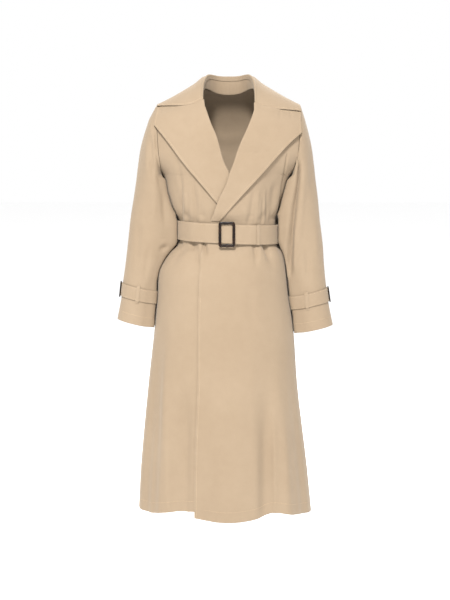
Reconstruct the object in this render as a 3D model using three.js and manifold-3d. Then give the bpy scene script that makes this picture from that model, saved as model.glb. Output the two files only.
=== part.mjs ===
// Belted trench coat, worn form, as one hollow rigid cloth part.
// Millimetres, +Z up, the front faces -Y and the wearer's left is +X.
// The origin lies between the shoulders, at the height where the shoulder seams meet the neck.

import * as THREE from 'three';
import { mergeVertices } from 'three/addons/utils/BufferGeometryUtils.js';
import Module from 'manifold-3d';

const wasm = await Module();
wasm.setup();

// Cloth and seams
const WALL = 1.8;
const SEAM = 0.3;
const LYING_GAP = 1.5;

// Coat body
const CHEST_Z = -170;
const UNDERARM_DROP = 60;
const ARMHOLE_DEPTH = 70;
const ARMHOLE_CHEST_X = 184;
const ARMHOLE_TOP_X = 192;
const SQUARENESS = 2.3;
const NECK_HALF = 68.5;
const NECK_BACK_Y = 45;
const SHOULDER_SLOPE = 0.352;
const HEM_Z = -1140;
const HEM_BLEND = 240;

// Sections of the coat body below the chest, half width and depths to the outer face
const TRUNK = [
  { z: -170, half: 217, front: 115, back: 118, centre: 3 },
  { z: -230, half: 172, front: 118, back: 115, centre: -1 },
  { z: -280, half: 156, front: 115, back: 110, centre: -4 },
  { z: -318, half: 144, front: 110, back: 103, centre: -3 },
  { z: -343, half: 132, front: 105, back: 98, centre: -1 },
  { z: -354, half: 130.2, front: 104, back: 97, centre: 0 },
  { z: -382, half: 130, front: 104, back: 97, centre: 0 },
  { z: -410, half: 130.2, front: 104, back: 97, centre: 0 },
  { z: -420, half: 136, front: 107, back: 101, centre: 0 },
  { z: -432, half: 148, front: 112, back: 107, centre: -2 },
  { z: -453, half: 160, front: 119, back: 115, centre: -7 },
  { z: -488, half: 171, front: 127, back: 124, centre: -13 },
  { z: -548, half: 175.5, front: 132, back: 130, centre: -11.5 },
  { z: -640, half: 187, front: 138, back: 138, centre: -9 },
  { z: -805, half: 203, front: 147, back: 150, centre: -12 },
  { z: -1008, half: 225, front: 158, back: 163, centre: -9 },
  { z: -1140, half: 235.5, front: 165, back: 170, centre: -6 },
];

// Height of the hem round the coat, turn 0 at centre front, + towards the wearer's left
const HEM = [
  { turn: -90, z: -1130 },
  { turn: -60, z: -1131 },
  { turn: -35, z: -1118 },
  { turn: -21, z: -1115 },
  { turn: 0, z: -1138 },
  { turn: 20, z: -1130 },
  { turn: 31, z: -1119 },
  { turn: 48, z: -1129 },
  { turn: 66, z: -1136 },
  { turn: 90, z: -1141 },
  { turn: 180, z: -1136 },
  { turn: 270, z: -1130 },
];

// Rows of the body panels: over the shoulder, round the armhole, down the bodice and the skirt
const ARMHOLE_STEP = 18;
const BODICE_ROWS = [-254, -282, -310, -334, -350];
const WAIST_ROWS = [-382, -414];
const SKIRT_ROWS = [-424, -438, -458, -486, -524, -580, -660, -750, -850, -950, -1050, -1140];
const FRONT_COLUMNS = 20;
const BACK_NECK_COLUMNS = 5;
const BACK_SIDE_COLUMNS = 12;
const BACK_NECK_SHARE = 0.256;

// Inner edge of each front: the roll of the lapel down to the belt, then the free front edge
const RIGHT_EDGE = [
  { z: 0, x: -65.5 },
  { z: -38, x: -62.5 },
  { z: -57, x: -55.5 },
  { z: -95, x: -42 },
  { z: -130, x: -27 },
  { z: -192, x: -9.4 },
  { z: -224, x: 5.4 },
  { z: -288, x: 24 },
  { z: -350, x: 36 },
  { z: -408, x: 46 },
  { z: -500, x: 56 },
  { z: -1140, x: 70 },
];
const LEFT_EDGE = [
  { z: 0, x: 71.5 },
  { z: -22, x: 74 },
  { z: -55, x: 71 },
  { z: -100, x: 55 },
  { z: -155, x: 30 },
  { z: -199, x: 15.3 },
  { z: -224, x: 5.4 },
  { z: -254, x: -4.2 },
  { z: -283, x: -19 },
  { z: -303, x: -27 },
  { z: -335, x: -37 },
  { z: -350, x: -40 },
  { z: -408, x: -62 },
  { z: -501, x: -73 },
  { z: -605, x: -76.6 },
  { z: -781, x: -78 },
  { z: -947, x: -84.7 },
  { z: -1140, x: -87 },
];

// The left front lies over the right one: how far its outer face stands out, by height
const OVERLAP = [
  { z: -150, lift: 0 },
  { z: -205, lift: 6.2 },
  { z: -330, lift: 6.4 },
  { z: -350, lift: 3.1 },
  { z: -1140, lift: 3.1 },
];
const OVERLAP_FULL_TURN = 23;
const OVERLAP_END_TURN = 42;

// Gathers drawn in by the belt, depth + outwards, each fading from the belt to its far end
const GATHERS = [
  { turn: -66, width: 9, depth: 3.0, above: -232, below: -520 },
  { turn: -52, width: 8, depth: -3.2, above: -215, below: -505 },
  { turn: -40, width: 8, depth: 2.6, above: -240, below: -490 },
  { turn: -26, width: 8, depth: -3.4, above: -250, below: -540 },
  { turn: 26, width: 8, depth: -3.0, above: -262, below: -500 },
  { turn: 37, width: 7, depth: 2.4, above: -250, below: -490 },
  { turn: 48, width: 8, depth: -3.6, above: -226, below: -520 },
  { turn: 61, width: 8, depth: 2.6, above: -218, below: -500 },
  { turn: 74, width: 8, depth: -2.6, above: -240, below: -480 },
  { turn: 112, width: 9, depth: -3.0, above: -232, below: -505 },
  { turn: 128, width: 9, depth: 2.8, above: -246, below: -520 },
  { turn: 143, width: 8, depth: -3.2, above: -226, below: -500 },
  { turn: 158, width: 9, depth: 2.6, above: -240, below: -535 },
  { turn: 173, width: 8, depth: -3.0, above: -250, below: -500 },
  { turn: 188, width: 9, depth: 2.8, above: -236, below: -515 },
  { turn: 204, width: 9, depth: -3.2, above: -228, below: -500 },
  { turn: 220, width: 9, depth: 2.6, above: -244, below: -525 },
  { turn: 236, width: 9, depth: -3.0, above: -234, below: -505 },
];
const GATHER_RISE = 16;
const BELT_TOP_Z = -347;
const BELT_BOTTOM_Z = -414;

// Long soft folds of the skirt, from where each starts to the hem
const SKIRT_FOLDS = [
  { turn: -66, width: 11, depth: -7, start: -560 },
  { turn: -46, width: 11, depth: 5, start: -600 },
  { turn: -30, width: 10, depth: -8, start: -640 },
  { turn: 27, width: 10, depth: -10, start: -540 },
  { turn: 43, width: 11, depth: 7, start: -560 },
  { turn: 63, width: 11, depth: -6, start: -600 },
  { turn: 118, width: 12, depth: -8, start: -560 },
  { turn: 138, width: 12, depth: 6, start: -600 },
  { turn: 158, width: 12, depth: -9, start: -540 },
  { turn: 180, width: 12, depth: 6, start: -620 },
  { turn: 202, width: 12, depth: -9, start: -560 },
  { turn: 224, width: 12, depth: 6, start: -590 },
  { turn: 246, width: 11, depth: -8, start: -550 },
];

// Sleeve rings: the highest, outermost point and the lowest, innermost point of each
const RIGHT_SLEEVE = [
  { outX: 207, outZ: -82, inX: 172, inZ: -240, depth: 71, midY: 0 },
  { outX: 220, outZ: -120, inX: 169, inZ: -251, depth: 70, midY: 0 },
  { outX: 231, outZ: -158, inX: 166, inZ: -266, depth: 68, midY: 1 },
  { outX: 238, outZ: -200, inX: 158, inZ: -286, depth: 66, midY: 2 },
  { outX: 244, outZ: -246, inX: 149, inZ: -312, depth: 63, midY: 3 },
  { outX: 251, outZ: -292, inX: 139, inZ: -340, depth: 60, midY: 4 },
  { outX: 260, outZ: -348, inX: 134, inZ: -382, depth: 57, midY: 4 },
  { outX: 267, outZ: -410, inX: 146, inZ: -436, depth: 54, midY: 3 },
  { outX: 274, outZ: -468, inX: 166, inZ: -492, depth: 51, midY: 2 },
  { outX: 281, outZ: -517, inX: 184, inZ: -540, depth: 47, midY: 1 },
  { outX: 286, outZ: -562, inX: 190, inZ: -584, depth: 45, midY: 0 },
  { outX: 297, outZ: -617, inX: 196.6, inZ: -640.6, depth: 48, midY: 0 },
];
const LEFT_SLEEVE = [
  { outX: 208, outZ: -82, inX: 176, inZ: -243, depth: 71, midY: 0 },
  { outX: 218, outZ: -120, inX: 171, inZ: -254, depth: 70, midY: 0 },
  { outX: 226, outZ: -158, inX: 163, inZ: -268, depth: 68, midY: 1 },
  { outX: 232, outZ: -203, inX: 155, inZ: -288, depth: 66, midY: 2 },
  { outX: 237, outZ: -246, inX: 146, inZ: -314, depth: 63, midY: 3 },
  { outX: 243.5, outZ: -295, inX: 137, inZ: -344, depth: 60, midY: 4 },
  { outX: 249, outZ: -352, inX: 132, inZ: -388, depth: 57, midY: 4 },
  { outX: 257, outZ: -415, inX: 141, inZ: -442, depth: 54, midY: 3 },
  { outX: 261, outZ: -472, inX: 152, inZ: -500, depth: 51, midY: 2 },
  { outX: 267, outZ: -530, inX: 168, inZ: -555, depth: 47, midY: 1 },
  { outX: 274, outZ: -577, inX: 171, inZ: -600, depth: 45, midY: 0 },
  { outX: 285.7, outZ: -633, inX: 179.3, inZ: -656, depth: 48, midY: 0 },
];
const SLEEVE_COLUMNS = 20;
const SLEEVE_CENTRE_RINGS = 3;
const ARMHOLE_GAP = SEAM * 3;
const UNDERARM_BLEND = 80;
const HEAD_WALL_FROM = 60;
const HEAD_WALL_BLEND = 60;

// Room kept between the sleeves and the coat body beside them
const SLEEVE_ROOM = [
  { z: -226, gap: 0 },
  { z: -250, gap: 3.5 },
  { z: -332, gap: 4 },
  { z: -350, gap: 10 },
  { z: -415, gap: 10 },
  { z: -436, gap: 5 },
  { z: -490, gap: 5 },
  { z: -512, gap: 9 },
  { z: -610, gap: 9 },
  { z: -626, gap: 5 },
  { z: -700, gap: 5 },
];

// Collar: the fold round the neck and the outer edge, from the gorge to the centre back
const COLLAR_CENTRE_X = 4;
const COLLAR = [
  { foldX: 66.5, foldOver: 50, up: 0, edgeX: 190.5, edgeOver: 75 },
  { foldX: 69.5, foldOver: 60, up: 7, edgeX: 191, edgeOver: 82 },
  { foldX: 69.5, foldOver: 72, up: 15, edgeX: 188, edgeOver: 88 },
  { foldX: 65, foldOver: 83, up: 23, edgeX: 182, edgeOver: 95 },
  { foldX: 58, foldOver: 93, up: 30, edgeX: 171, edgeOver: 105 },
  { foldX: 49, foldOver: 101, up: 34, edgeX: 152, edgeOver: 117 },
  { foldX: 35, foldOver: 108, up: 37, edgeX: 119, edgeOver: 129 },
  { foldX: 18, foldOver: 111.5, up: 39, edgeX: 71, edgeOver: 137 },
  { foldX: 0, foldOver: 112.4, up: 40, edgeX: 0, edgeOver: 140 },
];
const LEFT_GORGE_DROP = 8;
const GORGE_FADE_ROWS = 3;
const GORGE_BEND = 2.2;
const COLLAR_COLUMNS = 7;
const TIP_LIFT = 6;
const STAND_FOOT = 1;
const NOTCH_SHARE = 0.4;
const NOTCH_GAP = 1.6;

// Lapels: height of each row on the roll, and the point of the outer edge it runs to
const RIGHT_LAPEL = [
  { rollZ: -50, edgeX: -187.5, edgeZ: -73 },
  { rollZ: -66, edgeX: -188, edgeZ: -100 },
  { rollZ: -88, edgeX: -163, edgeZ: -129 },
  { rollZ: -112, edgeX: -141.5, edgeZ: -157 },
  { rollZ: -140, edgeX: -122, edgeZ: -184 },
  { rollZ: -168, edgeX: -102, edgeZ: -209 },
  { rollZ: -198, edgeX: -81.7, edgeZ: -233 },
  { rollZ: -230, edgeX: -59, edgeZ: -261 },
  { rollZ: -262, edgeX: -36, edgeZ: -290 },
  { rollZ: -292, edgeX: -16, edgeZ: -314 },
  { rollZ: -318, edgeX: -4, edgeZ: -326 },
];
const LEFT_LAPEL = [
  { rollZ: -62, edgeX: 192.5, edgeZ: -90 },
  { rollZ: -78, edgeX: 189.5, edgeZ: -121 },
  { rollZ: -98, edgeX: 165, edgeZ: -141 },
  { rollZ: -120, edgeX: 146, edgeZ: -160 },
  { rollZ: -145, edgeX: 127.5, edgeZ: -179.5 },
  { rollZ: -170, edgeX: 108, edgeZ: -200 },
  { rollZ: -198, edgeX: 86, edgeZ: -224 },
  { rollZ: -230, edgeX: 61, edgeZ: -252 },
  { rollZ: -262, edgeX: 38, edgeZ: -278 },
  { rollZ: -293, edgeX: 17, edgeZ: -303 },
  { rollZ: -322, edgeX: -2, edgeZ: -326 },
  { rollZ: -347, edgeX: -20, edgeZ: -348 },
];
const LAPEL_COLUMNS = 8;
const TIP_ROWS = 6;

// Belt, its tail and keeper, and the buckle
const BELT_WIDTH = 51;
const BELT_WALL = 2;
const BELT_Z = -382;
const BELT_TILT = -0.045;
const BELT_LIFT = 3;
const BELT_COLUMNS = 60;
const TAIL_START_TURN = -7;
const TAIL_END_TURN = 96;
const TAIL_GAP = 2.4;
const TAIL_REST = 0.4;
const TAIL_RISE_TURN = 8;
const TAIL_LYING_TURN = 22;
const OVERLAP_FOOT_TURN = -60;
const OVERLAP_FOOT_BLEND = 25;
const KEEPER_TURN = 33;
const KEEPER_WIDTH = 9;
const KEEPER_WALL = 1.4;
const KEEPER_ROOM = { tall: 0.5, deep: 1.6, seat: 0.5 };
const BUCKLE = { x: -1.2, z: -383, width: 43.7, height: 66.5, rim: 6, radius: 6.5, thick: 4.2, arc: 4 };
const BUCKLE_BAR = { width: 5, thick: 1.6, stand: 5.4, bite: 1 };
const BUCKLE_REST = 0.2;

// Sleeve straps, their loops and buckles
const STRAP_TOP = 9.05;
const STRAP_BOTTOM = 9.85;
const STRAP_LIFT = 1.1;
const STRAP_WALL = 1.8;
const STRAP_ROWS = 3;
const LOOP_MARGIN = 0.09;
const LOOP_HALF_TURN = 5.5;
const LOOP_WALL = 1.2;
const LOOP_REST = 0.2;
const RIGHT_LOOP_TURN = 86;
const LEFT_LOOP_TURN = 98;
const CUFF_BUCKLE = { width: 24, height: 43, rim: 4.5, radius: 4, thick: 3.2, arc: 2 };

// Finishes
const CLOTH_FINISH = { color: 0xd2ba9b, roughness: 0.85, metalness: 0 };
const BUCKLE_FINISH = { color: 0x3a2a20, roughness: 0.3, metalness: 0 };

const degrees = (angle) => (angle * Math.PI) / 180;
const mix = (a, b, share) => a + (b - a) * share;
const clamp = (value, low, high) => Math.min(high, Math.max(low, value));

function smooth(value) {
  const share = clamp(value, 0, 1);
  return share * share * (3 - 2 * share);
}

// Round-topped profile of a fold: 1 on its line and 0 at its edges, away being 1 there
function crest(away) {
  return 0.5 + 0.5 * Math.cos(Math.PI * away);
}

// Smooth value of a table's column between its rows; the key column runs one way
function along(table, key, at, column) {
  const last = table.length - 1;
  const way = Math.sign(table[last][key] - table[0][key]);
  if ((at - table[0][key]) * way <= 0) return table[0][column];
  if ((at - table[last][key]) * way >= 0) return table[last][column];
  let low = 0;
  while ((at - table[low + 1][key]) * way > 0) low += 1;
  const slope = (row) => {
    const before = table[Math.max(row - 1, 0)];
    const after = table[Math.min(row + 1, last)];
    return (after[column] - before[column]) / (after[key] - before[key]);
  };
  const from = table[low];
  const to = table[low + 1];
  const step = to[key] - from[key];
  const t = (at - from[key]) / step;
  const t2 = t * t;
  const t3 = t2 * t;
  return (2 * t3 - 3 * t2 + 1) * from[column] + (t3 - 2 * t2 + t) * slope(low) * step
    + (3 * t2 - 2 * t3) * to[column] + (t3 - t2) * slope(low + 1) * step;
}

// Straight value of a table's column between its rows
function between(table, key, at, column) {
  const last = table.length - 1;
  const way = Math.sign(table[last][key] - table[0][key]);
  if ((at - table[0][key]) * way <= 0) return table[0][column];
  if ((at - table[last][key]) * way >= 0) return table[last][column];
  let low = 0;
  while ((at - table[low + 1][key]) * way > 0) low += 1;
  const share = (at - table[low][key]) / (table[low + 1][key] - table[low][key]);
  return mix(table[low][column], table[low + 1][column], share);
}

// Half width and depths of the body's outline at a height; near the armhole they meet its edge
function section(z) {
  const level = Math.min(z, CHEST_Z);
  const front = along(TRUNK, 'z', level, 'front');
  const back = along(TRUNK, 'z', level, 'back');
  const centre = along(TRUNK, 'z', level, 'centre');
  const drop = (CHEST_Z - level) / UNDERARM_DROP;
  if (drop >= 1) return { half: along(TRUNK, 'z', level, 'half'), front, back, centre };
  const depth = ARMHOLE_DEPTH * Math.sqrt(1 - drop * drop);
  const reach = Math.pow(1 - Math.pow(depth / front, SQUARENESS), 1 / SQUARENESS);
  return { half: armholeX(level) / reach, front, back, centre };
}

// Distance of the armhole from the body's centre plane
function armholeX(z, over = 0) {
  if (z < CHEST_Z) {
    const underarm = TRUNK[1].half;
    return mix(ARMHOLE_CHEST_X, underarm, (CHEST_Z - z) / UNDERARM_DROP);
  }
  return mix(ARMHOLE_CHEST_X, ARMHOLE_TOP_X, Math.sin(degrees(over)));
}

function shoulderZ(x) {
  const centre = TRUNK[0].centre;
  return -SHOULDER_SLOPE * Math.max(0, Math.abs(x - centre) - NECK_HALF);
}

// How far the folds push the outline out at a turn and height
function foldPush(turn, z) {
  let push = 0;
  const round = turn < -90 ? turn + 360 : turn;
  for (const gather of GATHERS) {
    const away = Math.abs(round - gather.turn) / gather.width;
    if (away < 1) {
      const rise = smooth((z - BELT_TOP_Z) / GATHER_RISE)
        * smooth((gather.above - z) / (gather.above - BELT_TOP_Z));
      const fall = smooth((BELT_BOTTOM_Z - z) / GATHER_RISE)
        * smooth((z - gather.below) / (BELT_BOTTOM_Z - gather.below));
      push += gather.depth * crest(away) * (z > BELT_Z ? rise : fall);
    }
  }
  for (const fold of SKIRT_FOLDS) {
    const away = Math.abs(round - fold.turn) / fold.width;
    if (away < 1) {
      push += fold.depth * crest(away) * smooth((fold.start - z) / (fold.start - HEM_Z));
    }
  }
  return push;
}

// A point of the body's outer face: turn round the body, and a station that is the drop below the
// chest in mm when negative and the angle up and over the shoulder in degrees when positive
function bodyPoint(turn, station) {
  const over = Math.max(station, 0);
  const level = CHEST_Z + Math.min(station, 0);
  const outline = section(level);
  const sine = Math.sin(degrees(turn));
  const cosine = Math.cos(degrees(turn));
  const bow = 2 / SQUARENESS;
  const depth = cosine >= 0 ? outline.front : outline.back;
  const across = Math.sign(sine) * Math.pow(Math.abs(sine), bow);
  const deep = -Math.sign(cosine) * Math.pow(Math.abs(cosine), bow);
  const point = new THREE.Vector3(outline.centre + outline.half * across, depth * deep, level);
  if (over > 0) {
    point.y *= Math.cos(degrees(over));
    point.z = CHEST_Z + (shoulderZ(point.x) - CHEST_Z) * Math.sin(degrees(over));
    return point;
  }
  const push = foldPush(turn, level);
  const facing = new THREE.Vector2(sine / outline.half, -cosine / depth).normalize();
  point.x += facing.x * push;
  point.y += facing.y * push;
  const hem = along(HEM, 'turn', turn < -90 ? turn + 360 : turn, 'z');
  point.z += (hem - HEM_Z) * smooth((HEM_Z + HEM_BLEND - level) / HEM_BLEND);
  return point;
}

// Outward direction of any surface given by two numbers, found from points close by
function facingOf(surface, u, v, stepU, stepV, outward) {
  const alongU = surface(u + stepU, v).sub(surface(u - stepU, v));
  const alongV = surface(u, v + stepV).sub(surface(u, v - stepV));
  const facing = alongU.cross(alongV).normalize();
  return facing.dot(outward) < 0 ? facing.negate() : facing;
}

function bodyFacing(turn, station) {
  const point = bodyPoint(turn, station);
  const outward = new THREE.Vector3(point.x, point.y * 1.5, station > 0 ? point.z - CHEST_Z : 0);
  return facingOf(bodyPoint, turn, station, 0.6, 1.2, outward);
}

function liftedBody(turn, station, lift) {
  return bodyPoint(turn, station).addScaledVector(bodyFacing(turn, station), lift);
}

// Turn at which the body's outline passes a given x at a station
function turnAt(x, station, back = false) {
  const outline = section(CHEST_Z + Math.min(station, 0));
  const share = clamp((x - outline.centre) / outline.half, -1, 1);
  const angle = Math.asin(Math.pow(Math.abs(share), SQUARENESS / 2)) * (180 / Math.PI) * Math.sign(share);
  return back ? 180 - angle : angle;
}

// Turn of the side seam, or of the armhole above it
function sideTurn(station) {
  const z = CHEST_Z + Math.min(station, 0);
  if (z <= CHEST_Z - UNDERARM_DROP) return 90;
  const outline = section(z);
  return turnAt(outline.centre + armholeX(z, Math.max(station, 0)), station);
}

// Stations of the body panels' rows, from the shoulder seam to the hem
function panelStations() {
  const stations = [];
  for (let over = 90; over > 0; over -= ARMHOLE_STEP) stations.push(over);
  for (let round = 0; round <= 90; round += ARMHOLE_STEP) {
    stations.push(-UNDERARM_DROP * Math.sin(degrees(round)));
  }
  for (const z of [...BODICE_ROWS, ...WAIST_ROWS, ...SKIRT_ROWS]) stations.push(z - CHEST_Z);
  return stations;
}

// Closed shell between an outer and an inner grid of points; around joins its last column to its first
function shell(outer, inner, around = false) {
  const rows = outer.length;
  const columns = outer[0].length;
  const positions = [];
  for (const grid of [outer, inner]) {
    for (const row of grid) {
      for (const point of row) positions.push(point.x, point.y, point.z);
    }
  }
  const at = (side, row, column) => side * rows * columns + row * columns + (column % columns);
  const faces = [];
  const quad = (a, b, c, d) => faces.push(a, b, c, a, c, d);
  const spans = around ? columns : columns - 1;
  for (let row = 0; row < rows - 1; row += 1) {
    for (let column = 0; column < spans; column += 1) {
      quad(at(0, row, column), at(0, row, column + 1), at(0, row + 1, column + 1), at(0, row + 1, column));
      quad(at(1, row, column), at(1, row + 1, column), at(1, row + 1, column + 1), at(1, row, column + 1));
    }
    if (!around) {
      const end = columns - 1;
      quad(at(0, row, 0), at(0, row + 1, 0), at(1, row + 1, 0), at(1, row, 0));
      quad(at(0, row, end), at(1, row, end), at(1, row + 1, end), at(0, row + 1, end));
    }
  }
  for (let column = 0; column < spans; column += 1) {
    const end = rows - 1;
    quad(at(0, 0, column), at(1, 0, column), at(1, 0, column + 1), at(0, 0, column + 1));
    quad(at(0, end, column), at(0, end, column + 1), at(1, end, column + 1), at(1, end, column));
  }
  const geometry = new THREE.BufferGeometry();
  geometry.setAttribute('position', new THREE.Float32BufferAttribute(positions, 3));
  geometry.setIndex(volumeOf(positions, faces) < 0 ? faces.reverse() : faces);
  return geometry;
}

function volumeOf(positions, faces) {
  const corner = (index) => new THREE.Vector3().fromArray(positions, index * 3);
  let volume = 0;
  for (let face = 0; face < faces.length; face += 3) {
    const [a, b, c] = [faces[face], faces[face + 1], faces[face + 2]].map(corner);
    volume += a.dot(b.cross(c)) / 6;
  }
  return volume;
}

function grid(rows, columns, pointOf) {
  const line = (row) => Array.from({ length: columns }, (_, column) => pointOf(row, column));
  return Array.from({ length: rows }, (_, row) => line(row));
}

// Shell of a panel whose outer face lies at a lift over the body; place gives turn and station
function bodyShell(rows, columns, place, liftOf, wall = WALL) {
  const layer = (inside) => grid(rows, columns, (row, column) => {
    const [turn, station] = place(row, column);
    return liftedBody(turn, station, liftOf(turn, station) - inside);
  });
  return shell(layer(0), layer(wall));
}

// Half the seam allowance between two panels, as a turn
function seamTurn(station) {
  const outline = section(CHEST_Z + Math.min(station, 0));
  return (SEAM / 2 / outline.front) * (180 / Math.PI);
}

// How far the left front stands out over the right one
function overlapLift(turn, station) {
  if (station > 0) return 0;
  const height = between(OVERLAP, 'z', CHEST_Z + station, 'lift');
  return height * smooth((OVERLAP_END_TURN - turn) / (OVERLAP_END_TURN - OVERLAP_FULL_TURN));
}

function frontGeometry(edge, side) {
  const stations = panelStations();
  const place = (row, column) => {
    const station = stations[row];
    const edgeZ = station > 0 ? CHEST_Z * (1 - Math.sin(degrees(station))) : CHEST_Z + station;
    const from = turnAt(along(edge, 'z', edgeZ, 'x'), station);
    const to = side * (sideTurn(station) - seamTurn(station));
    const share = column / FRONT_COLUMNS;
    return [mix(from, to, share), row === 0 ? shoulderSeam() : station];
  };
  const liftOf = (turn, station) => (side > 0 ? overlapLift(turn, station) : 0);
  return bodyShell(stations.length, FRONT_COLUMNS + 1, place, liftOf);
}

// Station just before the shoulder seam, so that the two panels keep their gap there
function shoulderSeam() {
  return 90 - (SEAM / 2 / TRUNK[0].front) * (180 / Math.PI);
}

// Back neckline: angle over the shoulder at which the back panel starts, on each turn
function backTop(turn) {
  const point = bodyPoint(turn, 0);
  const off = Math.abs(point.x - TRUNK[0].centre) / NECK_HALF;
  if (off >= 1) return shoulderSeam();
  const neckY = NECK_BACK_Y * Math.sqrt(1 - off * off);
  return Math.min(shoulderSeam(), Math.acos(neckY / point.y) * (180 / Math.PI));
}

function backGeometry() {
  const stations = panelStations();
  const shares = [];
  const half = BACK_SIDE_COLUMNS + BACK_NECK_COLUMNS;
  for (let column = -half; column <= half; column += 1) {
    const step = Math.abs(column);
    const inNeck = Math.min(step, BACK_NECK_COLUMNS) / BACK_NECK_COLUMNS;
    const beyond = Math.max(step - BACK_NECK_COLUMNS, 0) / BACK_SIDE_COLUMNS;
    shares.push(Math.sign(column) * (inNeck * BACK_NECK_SHARE + beyond * (1 - BACK_NECK_SHARE)));
  }
  const place = (row, column) => {
    const station = stations[row];
    const reach = sideTurn(station) - seamTurn(station);
    const turn = 180 - shares[column] * reach;
    return [turn, station > 0 ? (station / 90) * backTop(turn) : station];
  };
  return bodyShell(stations.length, shares.length, place, () => 0);
}

// Point of a sleeve's outer face: round it from the shoulder (0) over the front (90), and down it by ring
function sleevePoint(rings, side, round, down) {
  const angle = degrees(round);
  if (down >= 0) {
    const value = (column) => along(rings.map((ring, i) => ({ i, v: ring[column] })), 'i', down, 'v');
    const centre = section(CHEST_Z - UNDERARM_DROP).centre * smooth(1 - down / SLEEVE_CENTRE_RINGS);
    const swing = (1 + Math.cos(angle)) / 2;
    const x = mix(value('inX'), value('outX'), swing);
    const y = value('midY') - value('depth') * Math.sin(angle);
    const z = mix(value('inZ'), value('outZ'), swing);
    return clearOfBody(new THREE.Vector3(centre + side * x, y, z), side);
  }
  const first = sleevePoint(rings, side, round, 0);
  return armholePoint(side, round, ARMHOLE_GAP).lerp(first, 1 + down);
}

// Place on the body of the armhole's edge, round it from the shoulder (0) over the front (90)
function armholePlace(side, round) {
  const turning = ((round % 360) + 360) % 360;
  const front = turning <= 180;
  const fromTop = front ? turning : 360 - turning;
  const station = fromTop <= 90 ? 90 - fromTop : UNDERARM_DROP * Math.cos(degrees(fromTop));
  const reach = sideTurn(station);
  return { turn: side * (front ? reach : 180 - reach), station, fromTop };
}

// Point of the armhole's edge, moved off the body by a gap
function armholePoint(side, round, gap) {
  const { turn, station, fromTop } = armholePlace(side, round);
  const point = bodyPoint(turn, station);
  const low = smooth((fromTop - 90) / UNDERARM_BLEND);
  point.x += side * gap * (1 - low);
  point.z += gap * low;
  return point;
}

// Pushes a point sideways until it keeps the sleeve's room to the coat body
function clearOfBody(point, side) {
  if (point.z >= SLEEVE_ROOM[0].z) return point;
  const outline = section(point.z);
  const gap = between(SLEEVE_ROOM, 'z', point.z, 'gap');
  const depth = (point.y < 0 ? outline.front : outline.back) + gap;
  const share = Math.abs(point.y) / depth;
  if (share >= 1) return point;
  const edge = (outline.half + gap) * Math.pow(1 - Math.pow(share, SQUARENESS), 1 / SQUARENESS);
  const limit = outline.centre * side + edge;
  if (point.x * side < limit) point.x = limit * side;
  return point;
}

function sleeveFacing(rings, side, round, down) {
  const surface = (u, v) => sleevePoint(rings, side, u, v);
  const here = surface(round, down);
  const last = rings.length - 1;
  const level = clamp(down, 0, last);
  const middle = surface(0, level).add(surface(180, level)).multiplyScalar(0.5);
  const at = clamp(down, -0.9, last - 0.1);
  return facingOf(surface, round, at, 4, 0.1, here.sub(middle));
}

function sleeveGeometry(rings, side) {
  const levels = [-1, ...rings.map((_, index) => index)];
  const roundOf = (column) => (column * 360) / SLEEVE_COLUMNS;
  const outer = grid(levels.length, SLEEVE_COLUMNS, (row, column) => (
    sleevePoint(rings, side, roundOf(column), levels[row])));
  const inner = grid(levels.length, SLEEVE_COLUMNS, (row, column) => {
    const round = roundOf(column);
    const facing = sleeveFacing(rings, side, round, levels[row]);
    if (row === 0) facing.lerp(armholeFacing(side, round), armholeShare(round)).normalize();
    return outer[row][column].clone().addScaledVector(facing, -WALL);
  });
  return shell(outer, inner, true);
}

// The sleeve head's rim follows the body's wall at the top and the sleeve's own at the underarm
function armholeShare(round) {
  const fromTop = Math.abs(180 - Math.abs(round - 180));
  return 1 - smooth((fromTop - HEAD_WALL_FROM) / HEAD_WALL_BLEND);
}

function armholeFacing(side, round) {
  const { turn, station } = armholePlace(side, round);
  return bodyFacing(turn, station);
}

// Point of the shoulder cap: x across, and the angle over from the chest front (0) to the back (180)
function capPoint(x, over, lift = 0) {
  const back = over > 90;
  const station = back ? 180 - over : over;
  return liftedBody(turnAt(x, station, back), station, lift);
}

// Point of the collar's fall: row from the gorge (0) to the centre back, share from fold to edge
function collarPoint(side, row, share, lift = 0) {
  const value = (column) => along(COLLAR.map((line, i) => ({ i, v: line[column] })), 'i', row, 'v');
  const near = clamp(1 - row / GORGE_FADE_ROWS, 0, 1);
  const drop = side > 0 ? LEFT_GORGE_DROP * near : 0;
  const bend = mix(1, GORGE_BEND, near);
  const x = COLLAR_CENTRE_X + side * mix(value('foldX'), value('edgeX'), share);
  const over = mix(value('foldOver'), value('edgeOver'), Math.pow(share, bend)) - drop;
  const tip = TIP_LIFT * share * share * near;
  const point = capPoint(x, over, LYING_GAP + WALL + tip + lift);
  point.z += value('up') * (1 - share);
  return point;
}

function collarGeometry() {
  const last = COLLAR.length - 1;
  const rows = 2 * last + 1;
  const half = (row) => (row <= last ? [-1, row] : [1, 2 * last - row]);
  const outer = grid(rows, COLLAR_COLUMNS + 1, (row, column) => {
    const [side, line] = half(row);
    return collarPoint(side, line, column / COLLAR_COLUMNS);
  });
  const inner = grid(rows, COLLAR_COLUMNS + 1, (row, column) => {
    const [side, line] = half(row);
    const surface = (u, v) => collarPoint(side, u, v);
    const at = clamp(line, 0.1, last - 0.1);
    const share = clamp(column / COLLAR_COLUMNS, 0.02, 0.98);
    const up = new THREE.Vector3(0, outer[row][column].y * 0.01, 1);
    const facing = facingOf(surface, at, share, 0.08, 0.02, up);
    if (line === last) facing.x = 0;
    return outer[row][column].clone().addScaledVector(facing.normalize(), -WALL);
  });
  return shell(outer, inner);
}

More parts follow.
